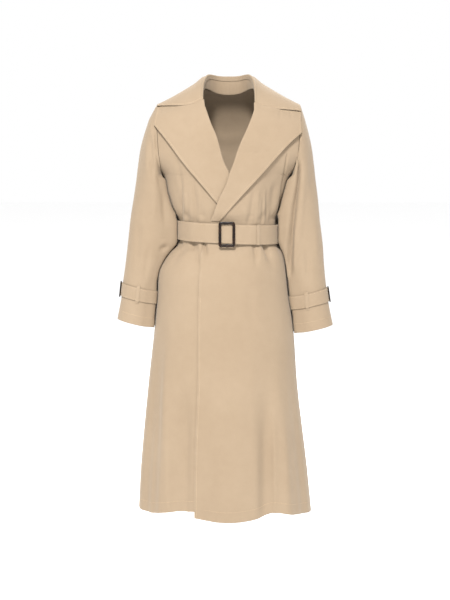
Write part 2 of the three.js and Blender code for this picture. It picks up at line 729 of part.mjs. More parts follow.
// The stand inside the fall, from the neckline up to the fold
function standGeometry() {
  const last = COLLAR.length - 1;
  const first = 1;
  const lines = [];
  for (let line = first; line <= last; line += 1) lines.push([-1, line]);
  for (let line = last - 1; line >= first; line -= 1) lines.push([1, line]);
  const wallAt = (row, column, inside) => {
    const [side, line] = lines[row];
    const fold = collarPoint(side, line, 0);
    const inward = new THREE.Vector3(fold.x - COLLAR_CENTRE_X, fold.y, 0).normalize();
    const base = fold.clone().addScaledVector(inward, -WALL - SEAM - inside);
    base.z -= column === 0 ? COLLAR[line].up + STAND_FOOT : WALL / 2;
    return base;
  };
  const layer = (inside) => grid(lines.length, 2, (row, column) => wallAt(row, column, inside));
  return shell(layer(0), layer(WALL));
}

// Point of a body-lying piece seen from the front, by x and z
function frontPoint(x, z, lift) {
  if (z <= CHEST_Z) {
    const station = z - CHEST_Z;
    return liftedBody(turnAt(x, station), station, lift);
  }
  const over = Math.asin(clamp((z - CHEST_Z) / (shoulderZ(x) - CHEST_Z), 0, 1)) * (180 / Math.PI);
  return capPoint(x, over, lift);
}

// Point of a lapel's outer face: row from the gorge (0) down the roll, share from roll to edge
function lapelPoint(side, rows, edge, row, share, lift) {
  const tip = TIP_LIFT * share * share * clamp(1 - row / TIP_ROWS, 0, 1);
  const stand = LYING_GAP + WALL + lift + tip;
  if (row === 0) {
    const gap = share > NOTCH_SHARE ? mix(SEAM, NOTCH_GAP, smooth((share - NOTCH_SHARE) * 4)) : SEAM;
    const point = collarPoint(side, 0, share, lift);
    return frontPoint(point.x, point.z - gap, 0).setY(point.y);
  }
  const { rollZ, edgeX, edgeZ } = rows[row - 1];
  const rollX = along(edge, 'z', rollZ, 'x');
  const x = mix(rollX, edgeX, share);
  const z = mix(rollZ, edgeZ, share);
  const station = Math.min(z - CHEST_Z, 0);
  const base = side > 0 ? overlapLift(turnAt(x, station), station) : 0;
  return frontPoint(x, z, base + stand);
}

function lapelGeometry(side, rows, edge) {
  const layer = (inside) => grid(rows.length + 1, LAPEL_COLUMNS + 1, (row, column) => (
    lapelPoint(side, rows, edge, row, column / LAPEL_COLUMNS, -inside)));
  return shell(layer(0), layer(WALL));
}

// Points of the belt: across its width (-0.5 to 0.5) on a tilted line round the waist
function beltPoint(turn, across, lift) {
  const waist = bodyPoint(turn, BELT_Z - CHEST_Z);
  const z = BELT_Z + BELT_TILT * waist.x + across * BELT_WIDTH;
  const facing = bodyFacing(turn, BELT_Z - CHEST_Z).setZ(0).normalize();
  const round = turn > 180 ? turn - 360 : turn;
  const stand = overlapLift(Math.max(round, -OVERLAP_FULL_TURN), BELT_Z - CHEST_Z) * frontShare(round);
  return waist.addScaledVector(facing, lift + stand).setZ(z);
}

// The right front's own edge stops the overlap's rise on the wearer's right
function frontShare(round) {
  return smooth((round - OVERLAP_FOOT_TURN) / OVERLAP_FOOT_BLEND);
}

function beltGeometry() {
  const turns = Array.from({ length: BELT_COLUMNS }, (_, column) => (column * 360) / BELT_COLUMNS);
  const layer = (lift) => grid(2, turns.length, (row, column) => beltPoint(turns[column], 0.5 - row, lift));
  return shell(layer(BELT_LIFT + BELT_WALL), layer(BELT_LIFT), true);
}

function tailGeometry() {
  const columns = Math.round((TAIL_END_TURN - TAIL_START_TURN) / (360 / BELT_COLUMNS));
  const rise = (turn) => smooth((TAIL_LYING_TURN - turn) / (TAIL_LYING_TURN - TAIL_RISE_TURN));
  const clear = (turn) => mix(SEAM, TAIL_GAP, rise(turn));
  const layer = (wall) => grid(2, columns + 1, (row, column) => {
    const turn = mix(TAIL_START_TURN, TAIL_END_TURN, column / columns);
    return beltPoint(turn, 0.5 - row, BELT_LIFT + BELT_WALL + clear(turn) + TAIL_REST + wall);
  });
  return shell(layer(BELT_WALL), layer(0));
}

// Flat frame with round corners, standing in the xz plane, its back on y = 0 and its face at -thick
function frameGeometry({ width, height, rim, radius, thick, arc }) {
  const outline = (w, h, r) => {
    const path = new THREE.Shape();
    path.absarc(w / 2 - r, h / 2 - r, r, 0, Math.PI / 2);
    path.absarc(r - w / 2, h / 2 - r, r, Math.PI / 2, Math.PI);
    path.absarc(r - w / 2, r - h / 2, r, Math.PI, 1.5 * Math.PI);
    path.absarc(w / 2 - r, r - h / 2, r, 1.5 * Math.PI, 2 * Math.PI);
    return path;
  };
  const shape = outline(width, height, radius);
  shape.holes.push(outline(width - 2 * rim, height - 2 * rim, radius / 2));
  const frame = new THREE.ExtrudeGeometry(shape, { depth: thick, bevelEnabled: false, curveSegments: arc });
  frame.rotateX(Math.PI / 2);
  return frame;
}

function joined(first, second) {
  const solid = (geometry) => {
    const bare = geometry.clone();
    bare.deleteAttribute('normal');
    bare.deleteAttribute('uv');
    const merged = mergeVertices(bare, 1e-4);
    return new wasm.Manifold(new wasm.Mesh({
      numProp: 3,
      vertProperties: merged.attributes.position.array,
      triVerts: new Uint32Array(merged.index.array),
    }));
  };
  const mesh = solid(first).add(solid(second)).getMesh();
  const geometry = new THREE.BufferGeometry();
  geometry.setAttribute('position', new THREE.BufferAttribute(mesh.vertProperties, 3));
  geometry.setIndex(new THREE.BufferAttribute(mesh.triVerts, 1));
  return geometry;
}

// The belt buckle's frame with the bar that the belt's fixed end is sewn round
function buckleGeometry() {
  const { width, thick, stand, bite } = BUCKLE_BAR;
  const frame = frameGeometry(BUCKLE);
  frame.translate(0, -stand, 0);
  const bar = new THREE.BoxGeometry(width, thick, BUCKLE.height - BUCKLE.rim);
  bar.translate(0, -thick / 2, 0);
  let buckle = joined(frame, bar);
  for (const end of [-1, 1]) {
    const post = new THREE.BoxGeometry(width, stand + bite, BUCKLE.rim - bite);
    post.translate(0, -(stand + bite) / 2, end * (BUCKLE.height - BUCKLE.rim) / 2);
    buckle = joined(buckle, post);
  }
  return buckle;
}

function keeperGeometry() {
  const tall = BELT_WIDTH / 2 + KEEPER_ROOM.tall;
  const deep = BELT_WALL * 2 + KEEPER_ROOM.deep;
  const ring = new THREE.Shape([
    new THREE.Vector2(-KEEPER_WALL, -tall - KEEPER_WALL),
    new THREE.Vector2(deep + KEEPER_WALL, -tall - KEEPER_WALL),
    new THREE.Vector2(deep + KEEPER_WALL, tall + KEEPER_WALL),
    new THREE.Vector2(-KEEPER_WALL, tall + KEEPER_WALL),
  ]);
  ring.holes.push(new THREE.Path([
    new THREE.Vector2(0, -tall),
    new THREE.Vector2(deep, -tall),
    new THREE.Vector2(deep, tall),
    new THREE.Vector2(0, tall),
  ]));
  const keeper = new THREE.ExtrudeGeometry(ring, { depth: KEEPER_WIDTH, bevelEnabled: false });
  keeper.translate(0, 0, -KEEPER_WIDTH / 2);
  keeper.rotateX(Math.PI / 2);
  return keeper;
}

// Strap round a sleeve, made from the sleeve's points moved out
function strapGeometry(rings, side) {
  const layer = (lift) => grid(STRAP_ROWS, SLEEVE_COLUMNS * 2, (row, column) => {
    const down = mix(STRAP_TOP, STRAP_BOTTOM, row / (STRAP_ROWS - 1));
    return liftedSleeve(rings, side, (column * 180) / SLEEVE_COLUMNS, down, lift);
  });
  return shell(layer(STRAP_LIFT + STRAP_WALL), layer(STRAP_LIFT), true);
}

function liftedSleeve(rings, side, round, down, lift) {
  return sleevePoint(rings, side, round, down).addScaledVector(sleeveFacing(rings, side, round, down), lift);
}

// Narrow loop over the strap, its ends down on the sleeve
function loopGeometry(rings, side, middle) {
  const over = STRAP_LIFT + STRAP_WALL + SEAM + LOOP_REST;
  const rows = [
    { down: STRAP_TOP - 2 * LOOP_MARGIN, lift: SEAM },
    { down: STRAP_TOP - LOOP_MARGIN, lift: SEAM },
    { down: STRAP_TOP - LOOP_MARGIN / 3, lift: over },
    { down: (STRAP_TOP + STRAP_BOTTOM) / 2, lift: over },
    { down: STRAP_BOTTOM + LOOP_MARGIN / 3, lift: over },
    { down: STRAP_BOTTOM + LOOP_MARGIN, lift: SEAM },
    { down: STRAP_BOTTOM + 2 * LOOP_MARGIN, lift: SEAM },
  ];
  const layer = (extra) => grid(rows.length, 3, (row, column) => {
    const round = middle + (column - 1) * LOOP_HALF_TURN;
    return liftedSleeve(rings, side, round, rows[row].down, rows[row].lift + extra);
  });
  return shell(layer(LOOP_WALL), layer(0));
}

const cloth = () => new THREE.MeshStandardMaterial(CLOTH_FINISH);
const resin = () => new THREE.MeshStandardMaterial(BUCKLE_FINISH);
const coat = new THREE.Group();

function addPiece(name, geometry, material = cloth()) {
  const mesh = new THREE.Mesh(geometry, material);
  mesh.name = name;
  coat.add(mesh);
  return mesh;
}

addPiece('back', backGeometry());
addPiece('front_right', frontGeometry(RIGHT_EDGE, -1));
addPiece('front_left', frontGeometry(LEFT_EDGE, 1));
addPiece('lapel_right', lapelGeometry(-1, RIGHT_LAPEL, RIGHT_EDGE));
addPiece('lapel_left', lapelGeometry(1, LEFT_LAPEL, LEFT_EDGE));
addPiece('collar_fall', collarGeometry());
addPiece('collar_stand', standGeometry());
addPiece('belt', beltGeometry());
addPiece('belt_tail', tailGeometry());

const buckle = addPiece('belt_buckle', buckleGeometry(), resin());
const buckleSeat = beltPoint(0, 0, BELT_LIFT + BELT_WALL + SEAM + BUCKLE_REST);
buckle.position.set(BUCKLE.x, buckleSeat.y, BUCKLE.z);

const keeper = addPiece('belt_keeper', keeperGeometry());
const keeperSeat = beltPoint(KEEPER_TURN, 0, BELT_LIFT - KEEPER_ROOM.seat);
const keeperRun = beltPoint(KEEPER_TURN + 1, 0, 0).sub(beltPoint(KEEPER_TURN - 1, 0, 0));
keeper.position.copy(keeperSeat);
keeper.rotation.z = Math.atan2(keeperRun.y, keeperRun.x) - Math.PI / 2;

for (const [word, side, rings, loopTurn] of [
  ['right', -1, RIGHT_SLEEVE, RIGHT_LOOP_TURN],
  ['left', 1, LEFT_SLEEVE, LEFT_LOOP_TURN],
]) {
  addPiece(`sleeve_${word}`, sleeveGeometry(rings, side));
  addPiece(`cuff_strap_${word}`, strapGeometry(rings, side));
  addPiece(`cuff_loop_${word}`, loopGeometry(rings, side, loopTurn));
  const frame = addPiece(`cuff_buckle_${word}`, frameGeometry(CUFF_BUCKLE), resin());
  const middle = (STRAP_TOP + STRAP_BOTTOM) / 2;
  const seat = liftedSleeve(rings, side, 0, middle, STRAP_LIFT + STRAP_WALL + SEAM);
  const low = liftedSleeve(rings, side, 0, STRAP_BOTTOM, STRAP_LIFT);
  const high = liftedSleeve(rings, side, 0, STRAP_TOP, STRAP_LIFT);
  frame.position.copy(seat);
  frame.rotation.set(0, Math.atan2(high.x - low.x, high.z - low.z), (side * Math.PI) / 2, 'YXZ');
}

export default coat;
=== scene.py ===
"""Dressed look of a belted trench coat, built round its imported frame.

The coat is hollow and keeps the form in which it is worn. Z is up, the front faces -Y and the
wearer's left is +X. The classes hold their sizes in millimetres, and meshes are made in metres.
"""

import logging
import math
from dataclasses import dataclass
from enum import Enum

import bpy
import numpy as np
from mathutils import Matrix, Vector


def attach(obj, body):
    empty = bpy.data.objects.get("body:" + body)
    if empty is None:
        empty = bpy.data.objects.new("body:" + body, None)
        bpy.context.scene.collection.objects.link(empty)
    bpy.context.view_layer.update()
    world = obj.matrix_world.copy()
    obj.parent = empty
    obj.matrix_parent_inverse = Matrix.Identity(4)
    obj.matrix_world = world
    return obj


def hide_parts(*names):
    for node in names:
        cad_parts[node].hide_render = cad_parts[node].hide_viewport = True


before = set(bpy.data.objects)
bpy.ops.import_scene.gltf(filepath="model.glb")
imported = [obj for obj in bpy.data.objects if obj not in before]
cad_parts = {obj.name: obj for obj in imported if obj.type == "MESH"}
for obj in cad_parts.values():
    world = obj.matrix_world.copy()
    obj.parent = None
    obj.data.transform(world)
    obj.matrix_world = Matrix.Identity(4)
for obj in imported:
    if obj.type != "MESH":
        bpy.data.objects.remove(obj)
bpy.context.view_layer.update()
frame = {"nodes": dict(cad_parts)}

Array = np.ndarray
MM = 0.001
log = logging.getLogger("coat")


def smooth(value: Array) -> Array:
    """Ease from 0 to 1, held at both ends."""
    share = np.clip(value, 0.0, 1.0)
    return share * share * (3.0 - 2.0 * share)


def mix(a: Array, b: Array, share: Array) -> Array:
    """Blend a into b by a share from 0 to 1."""
    return a + (b - a) * share


def unit(vectors: Array) -> Array:
    """Scale vectors to length 1."""
    return vectors / np.maximum(np.linalg.norm(vectors, axis=-1, keepdims=True), 1e-9)


def crest(away: Array) -> Array:
    """Round-topped profile of a fold, 1 on its line and 0 at its edges."""
    return 0.5 + 0.5 * np.cos(np.pi * np.clip(away, -1.0, 1.0))


def run_length(points: Array, axis: int) -> Array:
    """Length run along one axis of a grid of points.

    Args:
        points: Grid of points, (rows, columns, 3).
        axis: 0 down the rows, 1 across the columns.

    Returns:
        Length from the first line to each point.
    """
    steps = np.linalg.norm(np.diff(points, axis=axis), axis=-1)
    first = np.zeros_like(np.take(steps, [0], axis=axis))
    return np.concatenate([first, np.cumsum(steps, axis=axis)], axis=axis)


@dataclass(frozen=True)
class Course:
    """Table of a shape: the first column is the key and runs one way, the others follow it."""

    names: str
    rows: tuple[tuple[float, ...], ...]

    def column(self, name: str) -> tuple[Array, Array]:
        """Return the rising keys and the values of a named column."""
        table = np.array(self.rows, float)
        table = table if table[0, 0] < table[-1, 0] else table[::-1]
        return table[:, 0], table[:, self.names.split().index(name)]

    def line(self, name: str, at: Array) -> Array:
        """Return a column's straight value between its rows."""
        return np.interp(at, *self.column(name))

    def curve(self, name: str, at: Array) -> Array:
        """Read a column as a smooth curve through its rows.

        Args:
            name: The column.
            at: Keys to read it at.

        Returns:
            The values, held beyond both ends.
        """
        keys, values = self.column(name)
        slopes = (np.r_[values[1:], values[-1]] - np.r_[values[0], values[:-1]]) / (
            np.r_[keys[1:], keys[-1]] - np.r_[keys[0], keys[:-1]]
        )
        at = np.clip(at, keys[0], keys[-1])
        low = np.clip(np.searchsorted(keys, at, side="right") - 1, 0, len(keys) - 2)
        step = keys[low + 1] - keys[low]
        t = (at - keys[low]) / step
        t2, t3 = t * t, t * t * t
        return (
            (2 * t3 - 3 * t2 + 1) * values[low]
            + (t3 - 2 * t2 + t) * slopes[low] * step
            + (3 * t2 - 2 * t3) * values[low + 1]
            + (t3 - t2) * slopes[low + 1] * step
        )


@dataclass(frozen=True)
class Crease:
    """Soft trough or ridge in cloth along a line in two surface coordinates."""

    line: tuple[tuple[float, float], ...]
    width: float
    depth: float
    fade_in: float = 0.3
    fade_out: float = 0.3

    def push(self, u: Array, v: Array) -> Array:
        """Work out how far the crease moves the cloth outwards.

        Args:
            u: First surface coordinate of each point.
            v: Second surface coordinate.

        Returns:
            The push, negative in a trough.
        """
        line = np.array(self.line, float)
        legs = np.linalg.norm(np.diff(line, axis=0), axis=1)
        total, run = legs.sum(), 0.0
        nearest = np.full(np.shape(u), 1e9)
        place = np.zeros(np.shape(u))
        for start, end, leg in zip(line[:-1], line[1:], legs):
            along = ((u - start[0]) * (end[0] - start[0]) + (v - start[1]) * (end[1] - start[1])) / leg**2
            along = np.clip(along, 0.0, 1.0)
            off_u = u - mix(start[0], end[0], along)
            off_v = v - mix(start[1], end[1], along)
            distance = np.hypot(off_u, off_v)
            closer = distance < nearest
            nearest = np.where(closer, distance, nearest)
            place = np.where(closer, (run + along * leg) / total, place)
            run += leg
        ends = smooth(place / max(self.fade_in, 1e-6)) if self.fade_in else 1.0
        tail = smooth((1.0 - place) / max(self.fade_out, 1e-6)) if self.fade_out else 1.0
        return self.depth * np.exp(-((nearest / self.width) ** 2)) * ends * tail


def creased(creases: tuple[Crease, ...], u: Array, v: Array) -> Array:
    """Sum the push of several creases.

    Args:
        creases: The creases.
        u: First surface coordinate of each point.
        v: Second surface coordinate.

    Returns:
        The push, negative inwards.
    """
    total = np.zeros(np.broadcast(u, v).shape)
    for crease in creases:
        total = total + crease.push(u, v)
    return total


@dataclass(frozen=True)
class Trunk:
    """Outer form of the coat body, which every other piece follows.

    A place on it is a turn in degrees, 0 at centre front and rising to the wearer's left, and a
    station: millimetres below the chest when negative, degrees up over the shoulder when positive.
    """

    chest_z: float = -170.0
    underarm: float = 60.0
    armhole_depth: float = 70.0
    armhole_chest: float = 184.0
    armhole_top: float = 192.0
    squareness: float = 2.3
    neck_half: float = 68.5
    neck_back: float = 45.0
    shoulder_slope: float = 0.352
    shoulder_soft: float = 4.4
    hem_z: float = -1140.0
    hem_blend: float = 240.0
    belt_z: float = -382.0
    belt_top: float = -347.0
    belt_bottom: float = -414.0
    gather_rise: float = 16.0
    shoulder_ahead: float = 4.0
    shoulder_blend: float = 26.0
    near_turn: float = 0.6
    near_station: float = 1.2
    sections: Course = Course(
        "z half front back centre",
        (
            (-170, 217, 115, 118, 3), (-230, 172, 118, 115, -1), (-280, 156, 115, 110, -4),
            (-318, 144, 110, 103, -3), (-343, 132, 105, 98, -1), (-354, 130.2, 104, 97, 0),
            (-382, 130, 104, 97, 0), (-410, 130.2, 104, 97, 0), (-420, 136, 107, 101, 0),
            (-432, 148, 112, 107, -2), (-453, 160, 119, 115, -7), (-488, 171, 127, 124, -13),
            (-548, 175.5, 132, 130, -11.5), (-640, 187, 138, 138, -9), (-805, 203, 147, 150, -12),
            (-1008, 225, 158, 163, -9), (-1140, 235.5, 165, 170, -6),
        ),
    )
    hem: Course = Course(
        "turn z",
        (
            (-90, -1130), (-60, -1131), (-35, -1118), (-21, -1115), (0, -1138), (20, -1130),
            (31, -1119), (48, -1129), (66, -1136), (90, -1141), (180, -1136), (270, -1130),
        ),
    )
    # Each gather: turn, width, depth, far end above the belt, far end below it
    gathers: tuple[tuple[float, ...], ...] = (
        (-66, 9, 1.4, -232, -520), (-52, 8, -3.2, -215, -505), (-40, 8, 2.6, -240, -490),
        (-26, 8, -3.4, -250, -540), (26, 8, -3.0, -262, -500), (37, 7, 2.4, -250, -490),
        (48, 8, -3.6, -226, -520), (61, 8, 1.8, -218, -500), (74, 8, -2.6, -240, -480),
        (112, 9, -3.0, -232, -505), (128, 9, 2.8, -246, -520), (143, 8, -3.2, -226, -500),
        (158, 9, 2.6, -240, -535), (173, 8, -3.0, -250, -500), (188, 9, 2.8, -236, -515),
        (204, 9, -3.2, -228, -500), (220, 9, 2.6, -244, -525), (236, 9, -3.0, -234, -505),
    )
    # Each skirt fold: turn, width, depth, height where it starts
    folds: tuple[tuple[float, ...], ...] = (
        (-66, 11, -7, -560), (-46, 11, 5, -600), (-30, 10, -8, -640), (27, 10, -10, -540),
        (43, 11, 7, -560), (63, 11, -6, -600), (118, 12, -8, -560), (138, 12, 6, -600),
        (158, 12, -9, -540), (180, 12, 6, -620), (202, 12, -9, -560), (224, 12, 6, -590),
        (246, 11, -8, -550),
    )

    def armhole_x(self, z: Array, over: Array) -> Array:
        """Distance of the armhole from the centre plane at a height or angle over the shoulder."""
        low = mix(self.armhole_chest, self.sections.rows[1][1], (self.chest_z - z) / self.underarm)
        high = mix(self.armhole_chest, self.armhole_top, np.sin(np.radians(over)))
        return np.where(z < self.chest_z, low, high)

    def outline(self, z: Array) -> tuple[Array, Array, Array, Array]:
        """Read the body's outline at a height.

        Args:
            z: Heights.

        Returns:
            Half width, front depth, back depth and centre.
        """
        level = np.minimum(z, self.chest_z)
        half, front, back, centre = (
            self.sections.curve(name, level) for name in ("half", "front", "back", "centre")
        )
        drop = np.clip((self.chest_z - level) / self.underarm, 0.0, 1.0)
        deep = self.armhole_depth * np.sqrt(1.0 - drop * drop)
        reach = (1.0 - (deep / front) ** self.squareness) ** (1.0 / self.squareness)
        half = np.where(drop < 1.0, self.armhole_x(level, 0.0) / reach, half)
        return half, front, back, centre

    def shoulder_z(self, x: Array) -> Array:
        """Height of the shoulder line."""
        off = np.abs(x - self.sections.rows[0][4]) - self.neck_half
        share = smooth((off + self.shoulder_ahead) / self.shoulder_blend)
        return -self.shoulder_slope * np.maximum(0.0, off) - self.shoulder_soft * share

    def fold_push(self, turn: Array, z: Array) -> Array:
        """Add up the gathers at the belt and the folds of the skirt.

        Args:
            turn: Turns round the body.
            z: Heights.

        Returns:
            How far the cloth is pushed out.
        """
        round_ = np.where(turn < -90.0, turn + 360.0, turn)
        total = np.zeros(np.broadcast(turn, z).shape)
        for at, width, depth, above, below in self.gathers:
            rise = smooth((z - self.belt_top) / self.gather_rise) * smooth(
                (above - z) / (above - self.belt_top)
            )
            fall = smooth((self.belt_bottom - z) / self.gather_rise) * smooth(
                (z - below) / (self.belt_bottom - below)
            )
            total = total + depth * crest((round_ - at) / width) * np.where(z > self.belt_z, rise, fall)
        for at, width, depth, start in self.folds:
            total = total + depth * crest((round_ - at) / width) * smooth(
                (start - z) / (start - self.hem_z)
            )
        return total

    def point(self, turn: Array, station: Array) -> Array:
        """Find points of the body's outer face.

        Args:
            turn: Turns round the body.
            station: Stations down it or over the shoulder.

        Returns:
            Points in millimetres, with the coordinates on the last axis.
        """
        turn, station = np.broadcast_arrays(np.asarray(turn, float), np.asarray(station, float))
        over = np.maximum(station, 0.0)
        level = self.chest_z + np.minimum(station, 0.0)
        half, front, back, centre = self.outline(level)
        sine, cosine = np.sin(np.radians(turn)), np.cos(np.radians(turn))
        bow = 2.0 / self.squareness
        depth = np.where(cosine >= 0.0, front, back)
        x = centre + half * np.sign(sine) * np.abs(sine) ** bow
        y = -depth * np.sign(cosine) * np.abs(cosine) ** bow
        push = np.where(over > 0.0, 0.0, self.fold_push(turn, level))
        out = unit(np.stack([sine / half, -cosine / depth], -1))
        hem = self.hem.curve("z", np.where(turn < -90.0, turn + 360.0, turn))
        drop = (hem - self.hem_z) * smooth((self.hem_z + self.hem_blend - level) / self.hem_blend)
        rise = self.chest_z + (self.shoulder_z(x) - self.chest_z) * np.sin(np.radians(over))
        z = np.where(over > 0.0, rise, level + drop)
        y = np.where(over > 0.0, y * np.cos(np.radians(over)), y + out[..., 1] * push)
        return np.stack([x + out[..., 0] * push, y, z], -1)

    def facing(self, turn: Array, station: Array) -> Array:
        """Find the outward direction of the body's outer face.

        Args:
            turn: Turns round the body.
            station: Stations.

        Returns:
            Unit vectors.
        """
        turn, station = np.broadcast_arrays(np.asarray(turn, float), np.asarray(station, float))
        here = self.point(turn, station)
        near, next_ = self.near_turn, self.near_station
        across = self.point(turn + near, station) - self.point(turn - near, station)
        down = self.point(turn, station + next_) - self.point(turn, station - next_)
        found = unit(np.cross(across, down))
        rise = np.where(station > 0.0, here[..., 2] - self.chest_z, 0.0)
        outward = np.stack([here[..., 0], here[..., 1] * 1.5, rise], -1)
        return found * np.where((found * outward).sum(-1) < 0.0, -1.0, 1.0)[..., None]

    def lifted(self, turn: Array, station: Array, lift: Array) -> Array:
        """Find points that stand off the body's outer face by a lift."""
        return self.point(turn, station) + self.facing(turn, station) * np.asarray(lift)[..., None]

    def turn_at(self, x: Array, station: Array, behind: Array = False) -> Array:
        """Find the turn at which the outline passes a given x.

        Args:
            x: Distance across.
            station: Station of the outline.
            behind: Whether the place is on the back.

        Returns:
            Turns in degrees.
        """
        half, _, _, centre = self.outline(self.chest_z + np.minimum(station, 0.0))
        share = np.clip((x - centre) / half, -1.0, 1.0)
        angle = np.degrees(np.arcsin(np.abs(share) ** (self.squareness / 2.0))) * np.sign(share)
        return np.where(behind, 180.0 - angle, angle)

    def side_turn(self, station: Array) -> Array:
        """Find the turn of the side seam, or of the armhole above it.

        Args:
            station: Stations down the body or over the shoulder.

        Returns:
            Turns in degrees.
        """
        z = self.chest_z + np.minimum(station, 0.0)
        centre = self.outline(z)[3]
        edge = self.turn_at(centre + self.armhole_x(z, np.maximum(station, 0.0)), station)
        return np.where(z <= self.chest_z - self.underarm, 90.0, edge)

    def cap(self, x: Array, over: Array, lift: Array) -> Array:
        """Find points over the shoulder.

        Args:
            x: Distance across.
            over: Angle from the chest front (0) over the shoulder to the back (180).
            lift: How far they stand off the body.

        Returns:
            Points in millimetres.
        """
        behind = over > 90.0
        station = np.where(behind, 180.0 - over, over)
        return self.lifted(self.turn_at(x, station, behind), station, lift)

    def front(self, x: Array, z: Array, lift: Array) -> Array:
        """Find points of the front by x and z.

        Args:
            x: Distance across.
            z: Height.
            lift: How far they stand off the body.

        Returns:
            Points in millimetres.
        """
        station = np.minimum(z - self.chest_z, 0.0)
        low = self.lifted(self.turn_at(x, station), station, lift)
        share = np.clip((z - self.chest_z) / (self.shoulder_z(x) - self.chest_z), 0.0, 1.0)
        high = self.cap(x, np.degrees(np.arcsin(share)), lift)
        return np.where((z <= self.chest_z)[..., None], low, high)


class Edge(Enum):
    """Edges of a grid of cloth points."""

    TOP = "top"
    BOTTOM = "bottom"
    START = "start"
    END = "end"


